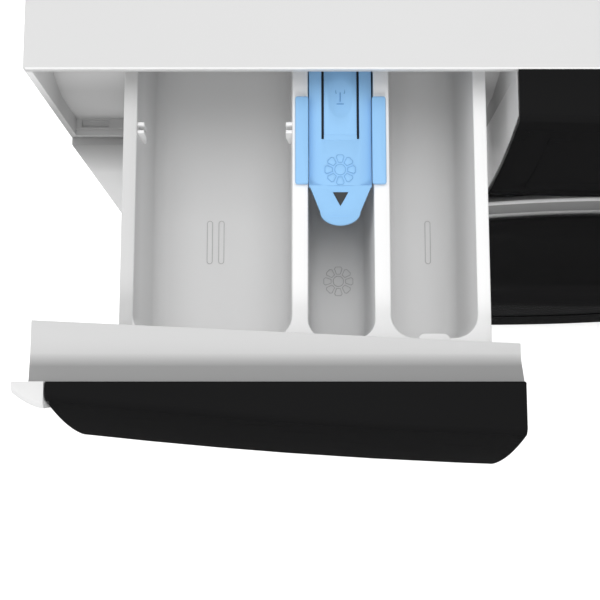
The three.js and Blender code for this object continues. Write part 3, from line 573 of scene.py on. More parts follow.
PETAL = ((0.5, -0.13), (0.5, 0.13), (0.88, 0.26), (1.0, 0.17), (1.0, -0.17), (0.88, -0.26))  # out, sideways


def flower_parts(x, b, radius):
    """The outlines of the flower mark: its disc and eight petals."""
    petals = []
    for turn in turns(8):
        right, back = radius * cos(turn), radius * sin(turn)
        petals.append([(x + out * right - side * back, b + out * back + side * right) for out, side in PETAL])
    return circle(x, b, 0.36 * radius, 20), petals


def flower_lines(name, x, b, z, radius, look):
    disc, petals = flower_parts(x, b, radius)
    outlined(f"{name}_centre", disc, z, look)
    for petal in petals:
        outlined(f"{name}_petal", petal, z, look)


def flower(name, x, b, z, radius):
    """Eight petals round a disc, standing a little proud of a floor."""
    disc, petals = flower_parts(x, b, radius)
    levels = (z - 0.3, z + 0.35)
    mark = fuse(standing(name, disc, *levels), *[standing("petal", petal, *levels) for petal in petals])
    return soften(mark, 0.1)


MARK_FRONT, MARK_REAR, MARK_WIDTH = -70, -49, 2.5
SOFTENER_MARK = (-163, -78.6)
SOFTENER_RADIUS = 7


def add_tray():
    blank = box("drawer_tray_fine", TRAY_LOW.x / MM, TRAY_HIGH.x / MM, opened(3) + GAP, POCKET_REAR + 6,
                TRAY_LOW.z / MM, RIM_Z)
    tray = cut(blank, *[pocket(*place) for place in COMPARTMENTS])
    dress(soften(tray, 0.6, 3), TRAY_WHITE_PAINTED_SHADE, "drawer_tray", angle=50)
    bars = {"main_wash_mark_left": -225.2, "main_wash_mark_right": -219.6, "prewash_mark": -119.6}
    for name, x in bars.items():
        bar = raised_bar(name, x, MARK_FRONT, MARK_REAR, MARK_WIDTH, TRAY_FLOOR)
        dress(bar, TRAY_WHITE_PAINTED_SHADE, body="drawer")
        # A grey line round each bar: painted shade along its edges
        edge = rounded(x - MARK_WIDTH / 2, x + MARK_WIDTH / 2, MARK_FRONT, MARK_REAR, MARK_WIDTH / 2 - 0.01)
        outlined(f"{name}_edge", edge, TRAY_FLOOR + 0.1, PAINTED_EDGE_SHADE)
    mark = flower("softener_mark", *SOFTENER_MARK, TRAY_FLOOR - 0.2, SOFTENER_RADIUS)
    dress(mark, TRAY_WHITE_PAINTED_SHADE, body="drawer")
    flower_lines("softener_edge", *SOFTENER_MARK, TRAY_FLOOR + 0.1, SOFTENER_RADIUS, PAINTED_EDGE_SHADE)


def add_tray_ribs():
    """Guides for the liquid flap in the main compartment, and the level tab in the prewash one."""
    left, right, _ = COMPARTMENTS[0]
    half = 0.8
    for side, wall, inward in (("left", left, 1), ("right", right, -1)):
        for end, b in (("rear", -16.6), ("front", -20.2)):
            sections = []
            for z, reach in ((RIM_Z - 2, 2.9), (RIM_Z - 10, 2.9), (RIM_Z - 19, 1.6)):
                root, tip = sorted((wall - inward, wall + inward * reach))
                corners = ((root, b - half), (tip, b - half), (tip, b + half), (root, b + half))
                sections.append([at(x, y, z) for x, y in corners])
            rib = soften(lofted(f"flap_guide_{side}_{end}", sections), 0.3)
            dress(rib, DRAWER_WHITE, body="drawer")
    outline = rounded(-130.8, -117.2, -117.5, -110.2, (2.9, 2.9, 0.5, 0.5))
    tab = soften(standing("level_tab", outline, RIM_Z - 3.4, RIM_Z + 0.5), 0.4)
    dress(tab, DRAWER_WHITE, body="drawer")


REAR = -0.6  # the rear edge of the drawer front's top, clear of the worktop when shut


FLANGE_LEFT = COVER_LEFT - 8.6
COVE_BOTTOM = 837.6
COVE = [(-0.2, 843.4), (6.2, 839.5), (7.8, 838.4), (9.6, 837.9), (12, 837.7)]  # behind the flange, as (b, z)


def add_drawer_cover():
    cover = swept("drawer_front_cover_fine", spread(COVER_LEFT, DRAWER_RIGHT, 24),
                  lambda x: [(opened(b), z) for b, z in cover_section(x, REAR)])
    dress(soften(cover, 0.7, 3), GLOSS_BLACK, "drawer_front_cover", angle=50)


def body_section(x):
    edge = 16 + 10 * (DRAWER_RIGHT - x) / (DRAWER_RIGHT + HALF)
    top = TOP_Z - 3.3
    under_cover = x >= COVER_LEFT
    front = [(face(x, z) + COVER_THICKNESS + GAP if under_cover else 0, min(z, top)) for z in FACE_HEIGHTS]
    under = [(3, OVERLAY_BOTTOM), (3, RIM_Z + 6), (edge, RIM_Z + 6), (edge, COVE_BOTTOM)]
    return [(opened(b), z) for b, z in [(REAR, top), *front, *under, *reversed(COVE)]]


def add_drawer_body():
    stations = [FLANGE_LEFT, COVER_LEFT - 0.3, *spread(COVER_LEFT, DRAWER_RIGHT, 24)]
    body = swept("drawer_front_body_fine", stations, body_section)
    for vertex in body.data.vertices:
        if vertex.co.x < (FLANGE_LEFT + 0.2) * MM:
            vertex.co.x += 0.2 * max(vertex.co.z - 838 * MM, 0)
    grip = standing("grip", rounded(-235, -145, opened(-17), opened(0), 6), OVERLAY_BOTTOM - 1, 800)
    # The drawer front's body wears the flange white with painted shade
    dress(soften(cut(body, grip), 0.6), FLANGE_WHITE_PAINTED_SHADE, "drawer_front_body", angle=45)


END_REACH = HALF + COVER_LEFT  # how far the rounded end goes left of the cover


def cap_section(x):
    along = min(max((COVER_LEFT - x) / END_REACH, 0), 1)
    front = face(COVER_LEFT, CREASE_Z) - 3.2 + 6.6 * along ** 1.7
    line = [(min(front + 0.08 * (CREASE_Z - z), -1.2), z) for z in FACE_HEIGHTS]
    return [(opened(b), z) for b, z in [(REAR, TOP_Z), (front + 2, TOP_Z), *line, (REAR, OVERLAY_BOTTOM)]]


def add_drawer_end():
    stations = [COVER_LEFT - GAP - (END_REACH - GAP) * sin(t) for t in spread(pi / 2, 0, 16)]
    cap = soften(swept("drawer_end_cap", stations, cap_section), 0.3)
    # The end cap in the greyer white of painted shade
    dress(cap, END_WHITE_PAINTED_SHADE, body="drawer", angle=50)


INSERT_HALF = 13.8


def arch(z_top, z_bottom, half=INSERT_HALF):
    """The insert's crowned top over flat sides, as (x, z)."""
    crown = [(INSERT_X + u, z_top - 3.2 * abs(u / INSERT_HALF) ** 3) for u in spread(-half, half, 16)]
    return [*crown, (INSERT_X + half, z_bottom), (INSERT_X - half, z_bottom)]


def along_depth(name, outline, b0, b1):
    """A prism whose (x, z) outline runs from b0 to b1."""
    return lofted(name, [[at(x, b, z) for x, z in outline] for b in (b0, b1)])


TONGUE_ROOT = -24
TONGUE_TIP = 15
TONGUE_HALF = 7.2


def on_chin(name, outline, *depths):
    """A piece on or in the sloping chin; its (x, b) outline stands between depths below the slope."""
    slope = [(INSERT_X + x, b, INSERT_TOP - 0.5 - 0.42 * (-45.7 - b)) for x, b in outline]
    return lofted(name, [[at(x, b, z - depth) for x, b, z in slope] for depth in depths])


def add_insert():
    channel = along_depth("siphon_insert_fine", arch(INSERT_TOP, 794), -45.7, 150)
    hollow = box("hollow", -175, -152.6, -41, 148, 790, 822)
    side = TONGUE_HALF + 1.1
    slot = box("slot", INSERT_X - side, INSERT_X + side, TONGUE_ROOT - 0.6, TONGUE_TIP + 1, 790, 835)
    relief = box("relief", -180, -147, -47, -26, 790, INSERT_TOP - 5)
    cut(channel, hollow, slot, relief)
    dress(soften(channel, 0.5), BLUE_PLASTIC, "siphon_insert", angle=45)
    # Dark strips under the slits beside the tongue: painted shadow in the gaps
    for name, x in (("insert_slit_shadow_left", -TONGUE_HALF - 1.08), ("insert_slit_shadow_right", TONGUE_HALF + 0.02)):
        slit_shadow = box(name, INSERT_X + x, INSERT_X + x + 1.06, TONGUE_ROOT - 0.5, TONGUE_TIP,
                    INSERT_TOP - 6, INSERT_TOP - 4.4)
        dress(slit_shadow, DARK_AND_PAINTED_SHADE, body="drawer")
    for name, x0, x1 in (("insert_wing_left", -183.6, -177.8), ("insert_wing_right", -149.9, -143.8)):
        wing = standing(name, rounded(x0, x1, -44.9, -5.3, 1.0, 4), RIM_Z + GAP, INSERT_TOP)
        dress(soften(wing, 0.6, 3), BLUE_PLASTIC, body="drawer")


def add_chin():
    """The insert's rounded front with its triangle window, a dark piece of painted shade under the window, and
    level line.
    """
    tip = [(8.9 * cos(t), -56.2 - 5.6 * sin(t)) for t in spread(0, pi, 16)]
    chin = on_chin("insert_chin", [(13.6, -45.4), *tip, (-13.6, -45.4)], 1.6, 0)
    window = [(INSERT_X - 3.4, -48.2), (INSERT_X + 3.4, -48.2), (INSERT_X, -53.9)]
    dress(soften(cut(chin, standing("window", window, 800, 840)), 0.35), BLUE_PLASTIC, body="drawer")
    # A dark piece under the triangle window: painted shade
    base = on_chin("insert_window_shadow", ((-3.9, -47.9), (3.9, -47.9), (0, -54.4)), 1.2, 0.5)
    dress(base, DARK_AND_PAINTED_SHADE, body="drawer")
    level = on_chin("insert_level_line", ((-4.6, -58.6), (4.6, -58.6), (4.6, -58), (-4.6, -58)), 0.4, -0.12)
    dress(level, BLUE_PLASTIC, body="drawer")
    place, radius = (INSERT_X - 0.2, -38.6), 6.6
    dress(flower("insert_mark", *place, INSERT_TOP - 0.25, radius), BLUE_PLASTIC, body="drawer")
    # Darker blue lines round the flower: painted edge shade
    flower_lines("insert_edge", *place, INSERT_TOP + 0.05, radius, PAINTED_BLUE_EDGE_SHADE)


def add_flexure():
    """The thin web that joins the release tongue to the insert."""
    crown = arch(INSERT_TOP + 0.02, 0, TONGUE_HALF)[:-2]
    outline = [*crown, *[(x, z - 0.7) for x, z in reversed(crown)]]
    web = along_depth("tongue_flexure", outline, TONGUE_ROOT - 1.2, TONGUE_ROOT + 1.0)
    dress_between(web, BLUE_PLASTIC)


def add_tongue():
    outline = arch(INSERT_TOP - 0.1, 823.8, TONGUE_HALF)
    tongue = along_depth("release_tongue_fine", outline, TONGUE_ROOT + 0.1, TONGUE_TIP)
    centre = at(INSERT_X, -6.5, INSERT_TOP + 3.2)
    bpy.ops.mesh.primitive_uv_sphere_add(segments=48, ring_count=24, location=centre)
    dish = bpy.context.object
    dish.scale = (8.6 * MM, 13.5 * MM, 4.4 * MM)
    cut(tongue, dish)
    dress(soften(tongue, 0.3), BLUE_PLASTIC, "release_tongue", angle=45)
    z = INSERT_TOP - 1.05
    sweep = spread(-0.5, pi + 0.5, 16)
    fingertip = [(INSERT_X + 2.0 * cos(t), -2.6 + 2.8 * sin(t), z) for t in sweep]
    stem = [(INSERT_X, -3.4, z), (INSERT_X, -7.6, z)]
    foot = [(INSERT_X - 1.6, -8.6, z), (INSERT_X + 1.6, -8.6, z)]
    for name, line in (("press_mark_tip", fingertip), ("press_mark_stem", stem), ("press_mark_foot", foot)):
        dress(wire(name, line, 0.22), BLUE_SHADE, body="tongue")


add_tray()
add_tray_ribs()
add_drawer_cover()
add_drawer_body()
add_drawer_end()
add_insert()
add_chin()
add_tongue()
add_flexure()


# ---- Fascia ----
def printed(name, outlines, look):
    """Flat marks on the bowed face; each outline is a list of (x, z)."""
    points, faces = [], []
    for outline in outlines:
        start, size = len(points), len(outline)
        for depth in (0.3, -0.12):
            points += [at(x, face(x, z) + depth, z) for x, z in outline]
        caps = [range(size), range(size, 2 * size)]
        faces += [tuple(start + i for i in loop) for loop in (*caps, *ring_faces(2, size, True))]
    dress(new_mesh(name, points, faces), look, body="cabinet")


def lettering(name, words, look):
    """Numerals laid on the bowed face; each word is (text, x, z, height)."""
    parts = []
    for text, x, z, height in words:
        data = bpy.data.curves.new(name, "FONT")
        data.body = text
        data.size = height
        data.align_x = "CENTER"
        data.align_y = "CENTER"
        data.resolution_u = 3
        source = new_object(name, data)
        mesh = evaluated_mesh(source)
        bpy.data.objects.remove(source)
        for vertex in mesh.vertices:
            place_x, place_z = x + vertex.co.x, z + vertex.co.y
            vertex.co = at(place_x, face(place_x, place_z) - 0.15, place_z)
        parts.append(mesh)
    shape = bmesh.new()
    for mesh in parts:
        shape.from_mesh(mesh)
    bmesh.ops.recalc_face_normals(shape, faces=shape.faces)
    joined = bpy.data.meshes.new(name)
    shape.to_mesh(joined)
    shape.free()
    dress(new_object(name, joined), look, body="cabinet")


OVERLAY_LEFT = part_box("fascia_overlay")[0].x / MM
OVERLAY_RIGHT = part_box("fascia_overlay")[1].x / MM
WINDOW = (135, 235, 792, 826)
DIAL = (90, 804, 27)
START = (264, 804, 11)


def bored(x, z, radius):
    """A round cutter through the face."""
    return turned("bore", [(0, -70), (radius, -70), (radius, 0), (0, 0)], x, z, sides=64, closed=False)


def groove(name, path, across, up):
    """A cutter for a shallow line in the face along (x, z) places; across and up are its width."""
    corners = ((0, 0.35), (1, 0.35), (1, -1), (0, -1))
    return lofted(name, [
        [at(x + i * across, face(x, z) + depth, z + i * up) for i, depth in corners] for x, z in path])


def add_overlay():
    overlay = swept("fascia_overlay_fine", spread(OVERLAY_LEFT, OVERLAY_RIGHT, 40),
                    lambda x: cover_section(x, -GAP))
    window = box("window", WINDOW[0], WINDOW[1], -70, -8, WINDOW[2], WINDOW[3])
    holes = [bored(x, z, radius + 0.6) for x, z, radius in (DIAL, START)]
    seam = groove("seam", [(-73.6, z) for z in spread(776, 838, 8)], 0.4, 0)
    line = groove("line", [(x, 772) for x in spread(-70, 290, 24)], 0, 0.4)
    cut(overlay, window, *holes, seam, line)
    dress(soften(overlay, 0.5, 2), GLOSS_BLACK, "fascia_overlay", angle=45)


def dial_place(turn, out, side=0.0):
    """A place (x, z) on the face, out from the dial's axis and turned clockwise from the top."""
    x, z, _ = DIAL
    return x + out * sin(turn) + side * cos(turn), z + out * cos(turn) - side * sin(turn)


DIAL_PLACES = 16
NO_NUMBER = (0, 7, 8, 9)  # the off place, and those too low for the overlay
TICK_CORNERS = ((0, -0.35), (0, 0.35), (1, 0.35), (1, -0.35))


def add_marks():
    radius = DIAL[2]
    ticks = []
    numbers = []
    for k, turn in enumerate(turns(DIAL_PLACES)):
        ends = (radius + 3.5, radius + (6.5 if k % 4 == 0 else 5.2))
        ticks.append([dial_place(turn, ends[end], side) for end, side in TICK_CORNERS])
        if k not in NO_NUMBER:
            numbers.append((str(k), *dial_place(turn, radius + 10), 4.2))
    printed("dial_ticks", ticks, MARK_WHITE)
    lettering("dial_numbers", numbers, MARK_WHITE)
    printed("option_lamps", [circle(x, 783, 1.1, 16) for x in spread(145, 225, 4)], MARK_WHITE)
    x = START[0]
    play = [(x - 2.4, 823), (x - 2.4, 828), (x + 1.6, 825.5)]
    bar = [(x + 2.6, 823), (x + 2.6, 828), (x + 3.5, 828), (x + 3.5, 823)]
    printed("start_mark", [play, bar], MARK_WHITE)


def add_window():
    x0, x1, z0, z1 = WINDOW
    pane = swept("display_window_fine", spread(x0 + 0.4, x1 - 0.4, 12), lambda x: [
        *[(face(x, z) + 0.15, z) for z in spread(z1 - 0.4, z0 + 0.4, 4)],
        *[(face(x, z) + 2.4, z) for z in spread(z0 + 0.4, z1 - 0.4, 4)]])
    dress(soften(pane, 0.2), SMOKED_GLASS, "display_window")


FLUTES = 36
DIAL_SIDES = 8 * FLUTES


def add_dial():
    x, z, radius = DIAL
    front = face(x, z - radius / 2)
    skirt = [(0, 10), (radius, 10), (radius, -3.5)]
    fluted = [(radius - 0.6, -5), (radius - 2.6, -17)]
    top = [(radius - 3.4, -19), (radius - 5.5, -20), (radius - 9, -19.6), (0, -19.2)]
    profile = [*skirt, *fluted, *top]
    points = []
    for turn in [*turns(DIAL_SIDES), 0]:
        for r, b in profile:
            flute = 0.225 + 0.225 * cos(FLUTES * turn) if (r, b) in fluted else 0
            points.append(at(x + (r - flute) * sin(turn), front + b, z + (r - flute) * cos(turn)))
    knob = new_mesh("programme_dial_fine", points, ring_faces(DIAL_SIDES + 1, len(profile), False))
    seat = box("seat", x - 0.9, x + 0.9, front - 22, front - 19, z + 8, z + radius - 6.5)
    dress(cut(knob, seat), GLOSS_BLACK, "programme_dial", angle=30)
    line = box("dial_pointer", x - 0.8, x + 0.8, front - 19.5, front - 18.8, z + 8.2, z + radius - 7)
    dress(line, MARK_WHITE, body="dial")
    section = [(radius - 2.3, -15.5), (radius - 1.9, -16.2), (radius - 2.2, -16.9), (radius - 3.4, -16.2)]
    ring = turned("dial_ring", [(r, front + b) for r, b in section], x, z)
    dress(ring, STAINLESS, body="dial")


def add_start_button():
    x, z, radius = START
    front = face(x, z - radius / 2)
    dome = [(radius - 1 + sin(t), front - 1.5 - cos(t)) for t in spread(pi / 2, 0, 5)]
    side = [(0, front + 9), (radius, front + 9), (radius, front - 1.5)]
    profile = [*side, *dome, (radius - 4, front - 2.3), (0, front - 1.9)]
    button = turned("start_button_fine", profile, x, z, sides=96, closed=False)
    dress(button, GLOSS_BLACK, "start_button", angle=50)
    section = [(radius - 3, -2.9), (radius - 2.4, -2.95), (radius - 2.4, -2.2), (radius - 3, -2.2)]
    halo = turned("start_ring", [(r, front + b) for r, b in section], x, z, sides=96)
    dress(halo, MARK_WHITE, body="start_key")


def add_recess():
    """The white walls beside the drawer: the fascia itself with its painted shade, a brighter plate of painted
    light on its end face, and a grey sheet of painted shadow in the ledge's slot.
    """
    # The fascia in its white with painted shade
    dress_copy("control_fascia", FASCIA_WHITE_PAINTED_SHADE, 0.5, 3, 50)
    # A plate in brighter white over the fascia's end face: painted light
    bowed = [(face(DRAWER_RIGHT, z) + COVER_THICKNESS + 0.6, min(z, TOP_Z - 4)) for z in FACE_HEIGHTS]
    outline = [*bowed, (-0.6, OVERLAY_BOTTOM), (-0.6, TOP_Z - 4)]
    painted_light_plate = lofted("fascia_end_face_painted_light", [[at(DRAWER_RIGHT + x, b, z) for b, z in outline] for x in (0.38, 0.6)])
    dress(painted_light_plate, PAINTED_LIGHT_WHITE, body="cabinet")
    # A grey sheet in the ledge's slot: painted shadow
    slot_shadow = box("ledge_slot_shadow", -292.5, -278.5, 4.6, 8.0, 746.7, 747.3)
    dress(slot_shadow, GREY_PLASTIC_AND_SHADE, body="cabinet")


add_overlay()
add_marks()
add_window()
add_dial()
add_start_button()
add_recess()


# ---- Door ----
DOOR_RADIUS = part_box("door_outer_ring")[1].x / MM
DOOR_SIDES = 180
HANDLE_LOW, HANDLE_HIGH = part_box("door_handle")
RAKE_START = -28.5


def rake(obj):
    """Lean the front of the door back towards its lower edge, so the face looks a little downwards."""
    start = at(0, RAKE_START, 0).y
    for vertex in obj.data.vertices:
        up = (vertex.co.z / MM - DRUM_Z + DOOR_RADIUS) / (2 * DOOR_RADIUS)
        if vertex.co.y < start:
            vertex.co.y = start + (vertex.co.y - start) * (0.15 + 0.9 * up * up)
    return obj


def door_box(name, x0, x1, b0, b1, below, above):
    """A cutter across the door; below and above are measured from its middle."""
    return box(name, x0, x1, b0, b1, DRUM_Z - below, DRUM_Z + above)


def add_door_ring():
    bulge = curved([(231.2, RAKE_START), (234.6, -31.5), (DOOR_RADIUS, -40), (DOOR_RADIUS - 1, -56),
                    (229.5, -70), (220, -77.6), (206, -78.6), (190, -75.4), (168.2, -66)], 6)
    profile = [*bulge, (171, -60), (212, -50), (226, RAKE_START)]
    low, high, left = HANDLE_LOW.z / MM, HANDLE_HIGH.z / MM, HANDLE_LOW.x / MM
    ring = rake(turned("door_outer_ring_fine", profile, sides=DOOR_SIDES))
    around = box("around", left - 0.6, 240, -92, 0, low - 0.6, high + 0.6)
    cut(ring, around, door_box("seat", -236, -216, -40, -20, 25, 25))
    dress(soften(ring, 0.4, angle=40), GLOSS_BLACK, "door_outer_ring", angle=50)
    handle = rake(turned("door_handle_fine", profile, sides=DOOR_SIDES))
    join_or_cut(handle, "INTERSECT", [box("keep", left, 240, -92, 0, low, high)])
    dress(soften(handle, 0.5, angle=40), GLOSS_BLACK, "door_handle", angle=50)


def add_door_rear():
    rim = [(230.2, -26.6), (230, -23), (230.2, -19.8), (226, -18.8)]
    back = [*curved([(200, -9.4), (184, -7.6), (168, -7)], 4), (168, -11), (198, -13), (222, -26.6)]
    rear = turned("door_rear_ring_fine", [*rim, *back], sides=DOOR_SIDES)
    cut(rear, door_box("hook_slot", 187, 208, -40, 0, 14, 20), door_box("seat", -236, -212, -40, -15, 25, 25))
    dress(soften(rear, 0.3, angle=40), GREY_PLASTIC_AND_SHADE, "door_rear_ring", angle=45)
    # Two thin beads in a lighter grey: painted highlights on the rear ring's edges
    for name, b in (("door_bead_front", -27.0), ("door_bead_rear", -19.9)):
        section = [(229.6 + 1.5 * sin(turn), b + 1.15 * cos(turn)) for turn in turns(12)]
        bead = cut(turned(name, section, sides=DOOR_SIDES), door_box("gap", -240, -212, -40, -15, 25, 25))
        dress(bead, BEAD_PAINTED_HIGHLIGHT, body="door", angle=60)


def add_door_glass():
    outside = [(167, -13), (150, -12), (143, 6), (130, 40), (119, 60), (104, 76), (84, 81.5), (0, 82)]
    inside = [(0, 88), (86, 87.4), (108, 81), (124, 65), (136, 42), (149, 4), (154, -8), (167, -8)]
    bowl = turned("door_glass_bowl_fine", [*curved(outside), *curved(inside)], sides=DOOR_SIDES)
    dress(bowl, CLEAR_GLASS, "door_glass_bowl", angle=60)
    outside = [(0, -70), (60, -69.6), (120, -68.5), (166, -63.5)]
    inside = [(166, -57), (120, -61.5), (60, -62.6), (0, -63)]
    front = turned("door_front_glass_fine", [*curved(outside, 6), *curved(inside, 6)], sides=DOOR_SIDES)
    dress(rake(front), SMOKED_GLASS, "door_front_glass", angle=60)


def add_door_hardware():
    for name in ("door_hinge_arm", "hinge_bracket", "latch_hook", "door_lock"):
        dress_copy(name, None, 0.5, 3)
    for z in (-28, 28):
        dress(screw("hinge_screw", -250, PANEL_FACE - 0.6, DRUM_Z + z, 4, -1), ZINC_STEEL, body="cabinet")


def screw(name, x, b, z, radius, facing):
    """A pan head with a cross recess, on a face that looks along facing (-1 front, 1 rear)."""
    height = radius * 0.62 * facing
    dome = [(radius * cos(t), b + height * sin(t)) for t in spread(0, pi / 2, 5)]
    base = b - 0.3 * facing
    head = turned(name, [(0, base), (radius, base), *dome], x, z, sides=28, closed=False)
    arm, slot = radius * 0.62, radius * 0.13
    ends = sorted((b + height * 0.45, b + height * 2))
    for wide, high in ((arm, slot), (slot, arm)):
        cut(head, box("bar", x - wide, x + wide, *ends, z - high, z + high))
    return head


def add_gasket():
    outer = [(166, -1), (166.4, 8), (168, 16), (179, 24), (182, 30), (179, 36), (168, 43), (166, 50),
             (166, 56)]
    inner = [(163, 56), (163, 48), (165, 41.5), (175.5, 34.6), (178.4, 30), (175.5, 25.4), (165, 18.2),
             (163.2, 10), (162.6, -1)]
    bellows = turned("door_gasket_fine", [*curved(outer, 4), *curved(inner, 4)], sides=144)
    dress_between(bellows, RUBBER_PALE, ["door_gasket"])


# ---- Cabinet ----
PRESSING = rounded(70, 500, 110, 730, 26, 8)  # the shallow stamped field of a side panel, as (b, z)


def add_side(word, side):
    node = f"{word}_side_panel"
    field = lofted("field", [[at(side * x, b, z) for b, z in PRESSING] for x in (HALF - 0.8, HALF + 2)])
    dress(cut(fine_copy(node, 0.5), field), WHITE_ENAMEL, node, angle=40)
    rim = [(side * (HALF - 0.5), b, z) for b, z in PRESSING]
    dress(wire(f"side_pressing_{word}", [*rim, rim[0]], 0.5), WHITE_ENAMEL, body="cabinet")


def add_cabinet():
    add_side("left", -1)
    add_side("right", 1)
    dress_copy("worktop", WORKTOP_WHITE, 0.7, 3, 45)
    # A strip of brighter white along the worktop's front edge: painted highlight
    lip = box("worktop_edge_highlight", 1 - HALF, HALF - 1, -0.06, 0.8, TOP_Z - 1.6, TOP_Z + 0.05)
    dress(soften(lip, 0.3, 3), PAINTED_LIGHT_WHITE, body="cabinet")
    # The front panel's white carries painted shade along its top
    dress_copy("front_panel", PANEL_WHITE_PAINTED_SHADE, 0.5, 3, 45)
    dress_copy("plinth", WHITE_PLASTIC, 0.6, 3, 45)
    dress_copy("pump_flap", WHITE_PLASTIC, angle=45)


REAR_FACE = (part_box("rear_panel")[1].y - FRONT_Y) / MM


def add_service_cover():
    dish = [(60, 554), (72, 552), (84, 552), (96, 554), (134, 554), (146, 549), (152, 545.2), (168, 545)]
    inside = [(168, 543.2), (151, 543.2), (140, 552), (94, 552), (84, 550.4), (72, 550.4), (58, 552.4),
              (0, 552.4)]
    cover = turned("rear_service_cover_fine", [(0, 554), *curved(dish, 4), *inside], sides=144)
    dress(cover, ZINC_STEEL, "rear_service_cover", angle=50)
    for turn in turns(8, 0.5):
        piece = screw("cover_screw", 160 * sin(turn), 545, DRUM_Z + 160 * cos(turn), 4, 1)
        dress(piece, ZINC_STEEL, body="cabinet")


def add_rear():
    dress_copy("rear_panel", WHITE_ENAMEL, 0.3)
    add_service_cover()
    for x in (-285, 285):
        for z in (60, 300, 560, 800):
            dress(screw("panel_screw", x, REAR_FACE, z, 4, 1), ZINC_STEEL, body="cabinet")
    dome = ((0, 0), (21, 0), (21, 2), (18, 4), (9, 4.6), (8, 1.5), (0, 1.5))
    section = [(r, REAR_FACE + b) for r, b in dome]
    for x in (-215, 215):
        for z in (250, 660):
            cap = turned("transit_cap", section, x, z, sides=64, closed=False)
            dress(cap, WHITE_PLASTIC, body="cabinet", angle=50)
    for z in (150, 170, 190):
        bead = wire("rear_bead", [(x, REAR_FACE + 0.2, z) for x in spread(-230, 230, 20)], 1.6)
        dress(bead, WHITE_ENAMEL, body="cabinet")


def add_water_fittings():
    x, z = -225, 796
    end = (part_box("inlet_valve")[1].y - FRONT_Y) / MM
    thread = []
    for b in spread(end - 21, end - 2.6, 8):
        thread += [(11.6, b), (13, b + 0.8), (13, b + 1.3), (11.6, b + 2.1)]
    profile = [(9, 536), (13, 536), (13, end - 23), *thread, (12, end), (9.6, end), (9, end - 1)]
    dress(turned("inlet_spout", profile, x, z, sides=64), INNER_POLYMER, body="cabinet", angle=35)
    profile = [(0, end - 8), (9.2, end - 8), (9.2, end - 7), (3, end - 6), (0, end - 6)]
    strainer = turned("inlet_strainer", profile, x, z, sides=48, closed=False)
    dress(strainer, BLUE_PLASTIC, body="cabinet")
    valve = box("inlet_valve_fine", -258, -192, 470, 538, 772, 822)
    dress(soften(valve, 1.5, 3), INNER_POLYMER, "inlet_valve")
    profile = curved([(8, 480), (17, 480), (18, 484), (18, 516), (17, 520), (8, 520)], 3)
    coil = turned("inlet_coil", profile, -206, 797, sides=48)
    dress(coil, DARK_AND_PAINTED_SHADE, body="cabinet")
    profile = [(8, 515), (12, 515), (12, 540), (13.4, 541), (12, 546), (12, 548), (13, 549), (11, 556),
               (10, 562), (8, 562)]
    dress(turned("drain_outlet_fine", profile, 262, 700, sides=64), INNER_POLYMER, "drain_outlet", angle=35)


def hose(name, places, steps, gap, radius, ripple, around=6):
    """A corrugated hose along a smooth route, with a rib every second gap."""
    return wire(name, evenly(curved(places, steps), gap), radius, ripple, around)


def add_pump():
    x, z = 206, 62
    profile = [(0, 9), (22.6, 9), (23.2, 10), (23.2, 58), (22, 60), (0, 60)]
    plug_body = turned("pump_filter_fine", profile, x, z, sides=120, closed=False)
    grip = soften(box("grip", x - 3, x + 3, 3, 10, z - 18, z + 18), 1.2, 3)
    dress(fuse(plug_body, grip), GREY_PLASTIC_AND_SHADE, "pump_filter", angle=40)
    dress_copy("drain_pump", INNER_POLYMER, 0.6)
    route = [(150, 180, 239), (150, 178, 208), (162, 135, 165), (179, 97, 135), (180, 96, 111)]
    sump = hose("sump_hose_fine", route, 12, 2.2, 13, 0.16)
    dress_between(sump, RUBBER_GREY, ["sump_hose"])
    route = [(222, 120, 70), (255, 170, 74), (276, 300, 90), (280, 440, 240), (278, 500, 520),
             (268, 510, 660), (262, 516, 700)]
    dress(hose("drain_riser", route, 16, 3, 10, 0.14, 5), RUBBER_GREY, body="cabinet")
    route = [(-180, 250, 760), (-182, 246, 740), (-186, 238, 712), (-190, 230, 684), (-188, 226, 656)]
    feed = hose("dispenser_hose", route, 10, 2.6, 14, 0.15)
    dress_between(feed, RUBBER_GREY)


# ---- Tub, suspension and drive ----
def add_tub_shells():
    radius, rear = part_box("tub_front_shell")[1].x / MM, (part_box("tub_front_shell")[1].y - FRONT_Y) / MM
    mouth = curved([(190, 61), (235, 62), (254, 66), (radius, 76)], 4)
    lip, inner = radius + 5, radius - 3
    flange = [(radius, rear - 6), (lip, rear - 6), (lip, rear), (inner, rear), (inner, 78)]
    inside = curved([(252, 69), (234, 65), (190, 64), (170, 63)], 4)
    front = turned("tub_front_shell_fine", [(170, 60), *mouth, *flange, *inside], sides=144)
    dress(front, INNER_POLYMER, "tub_front_shell")
    dress_copy("tub_rear_shell", INNER_POLYMER, 0.6)
    for turn in turns(18, 0.5):
        ends = []
        for out in (70, 256):
            b = 478 - 9 * (out - 60) / 200
            corners = ((2, b - 2), (-2, b - 2), (-2, b + 14), (2, b + 14))
            ends.append([placed(pi / 2 - turn, across, out, depth) for across, depth in corners])
        dress(lofted("tub_rib", ends), INNER_POLYMER, body="tub")


SPRING_X, SPRING_BACK, SPRING_RADIUS = 278, 260, 6.3
SPRING_TURNS = 30
TURN_STEPS = 14


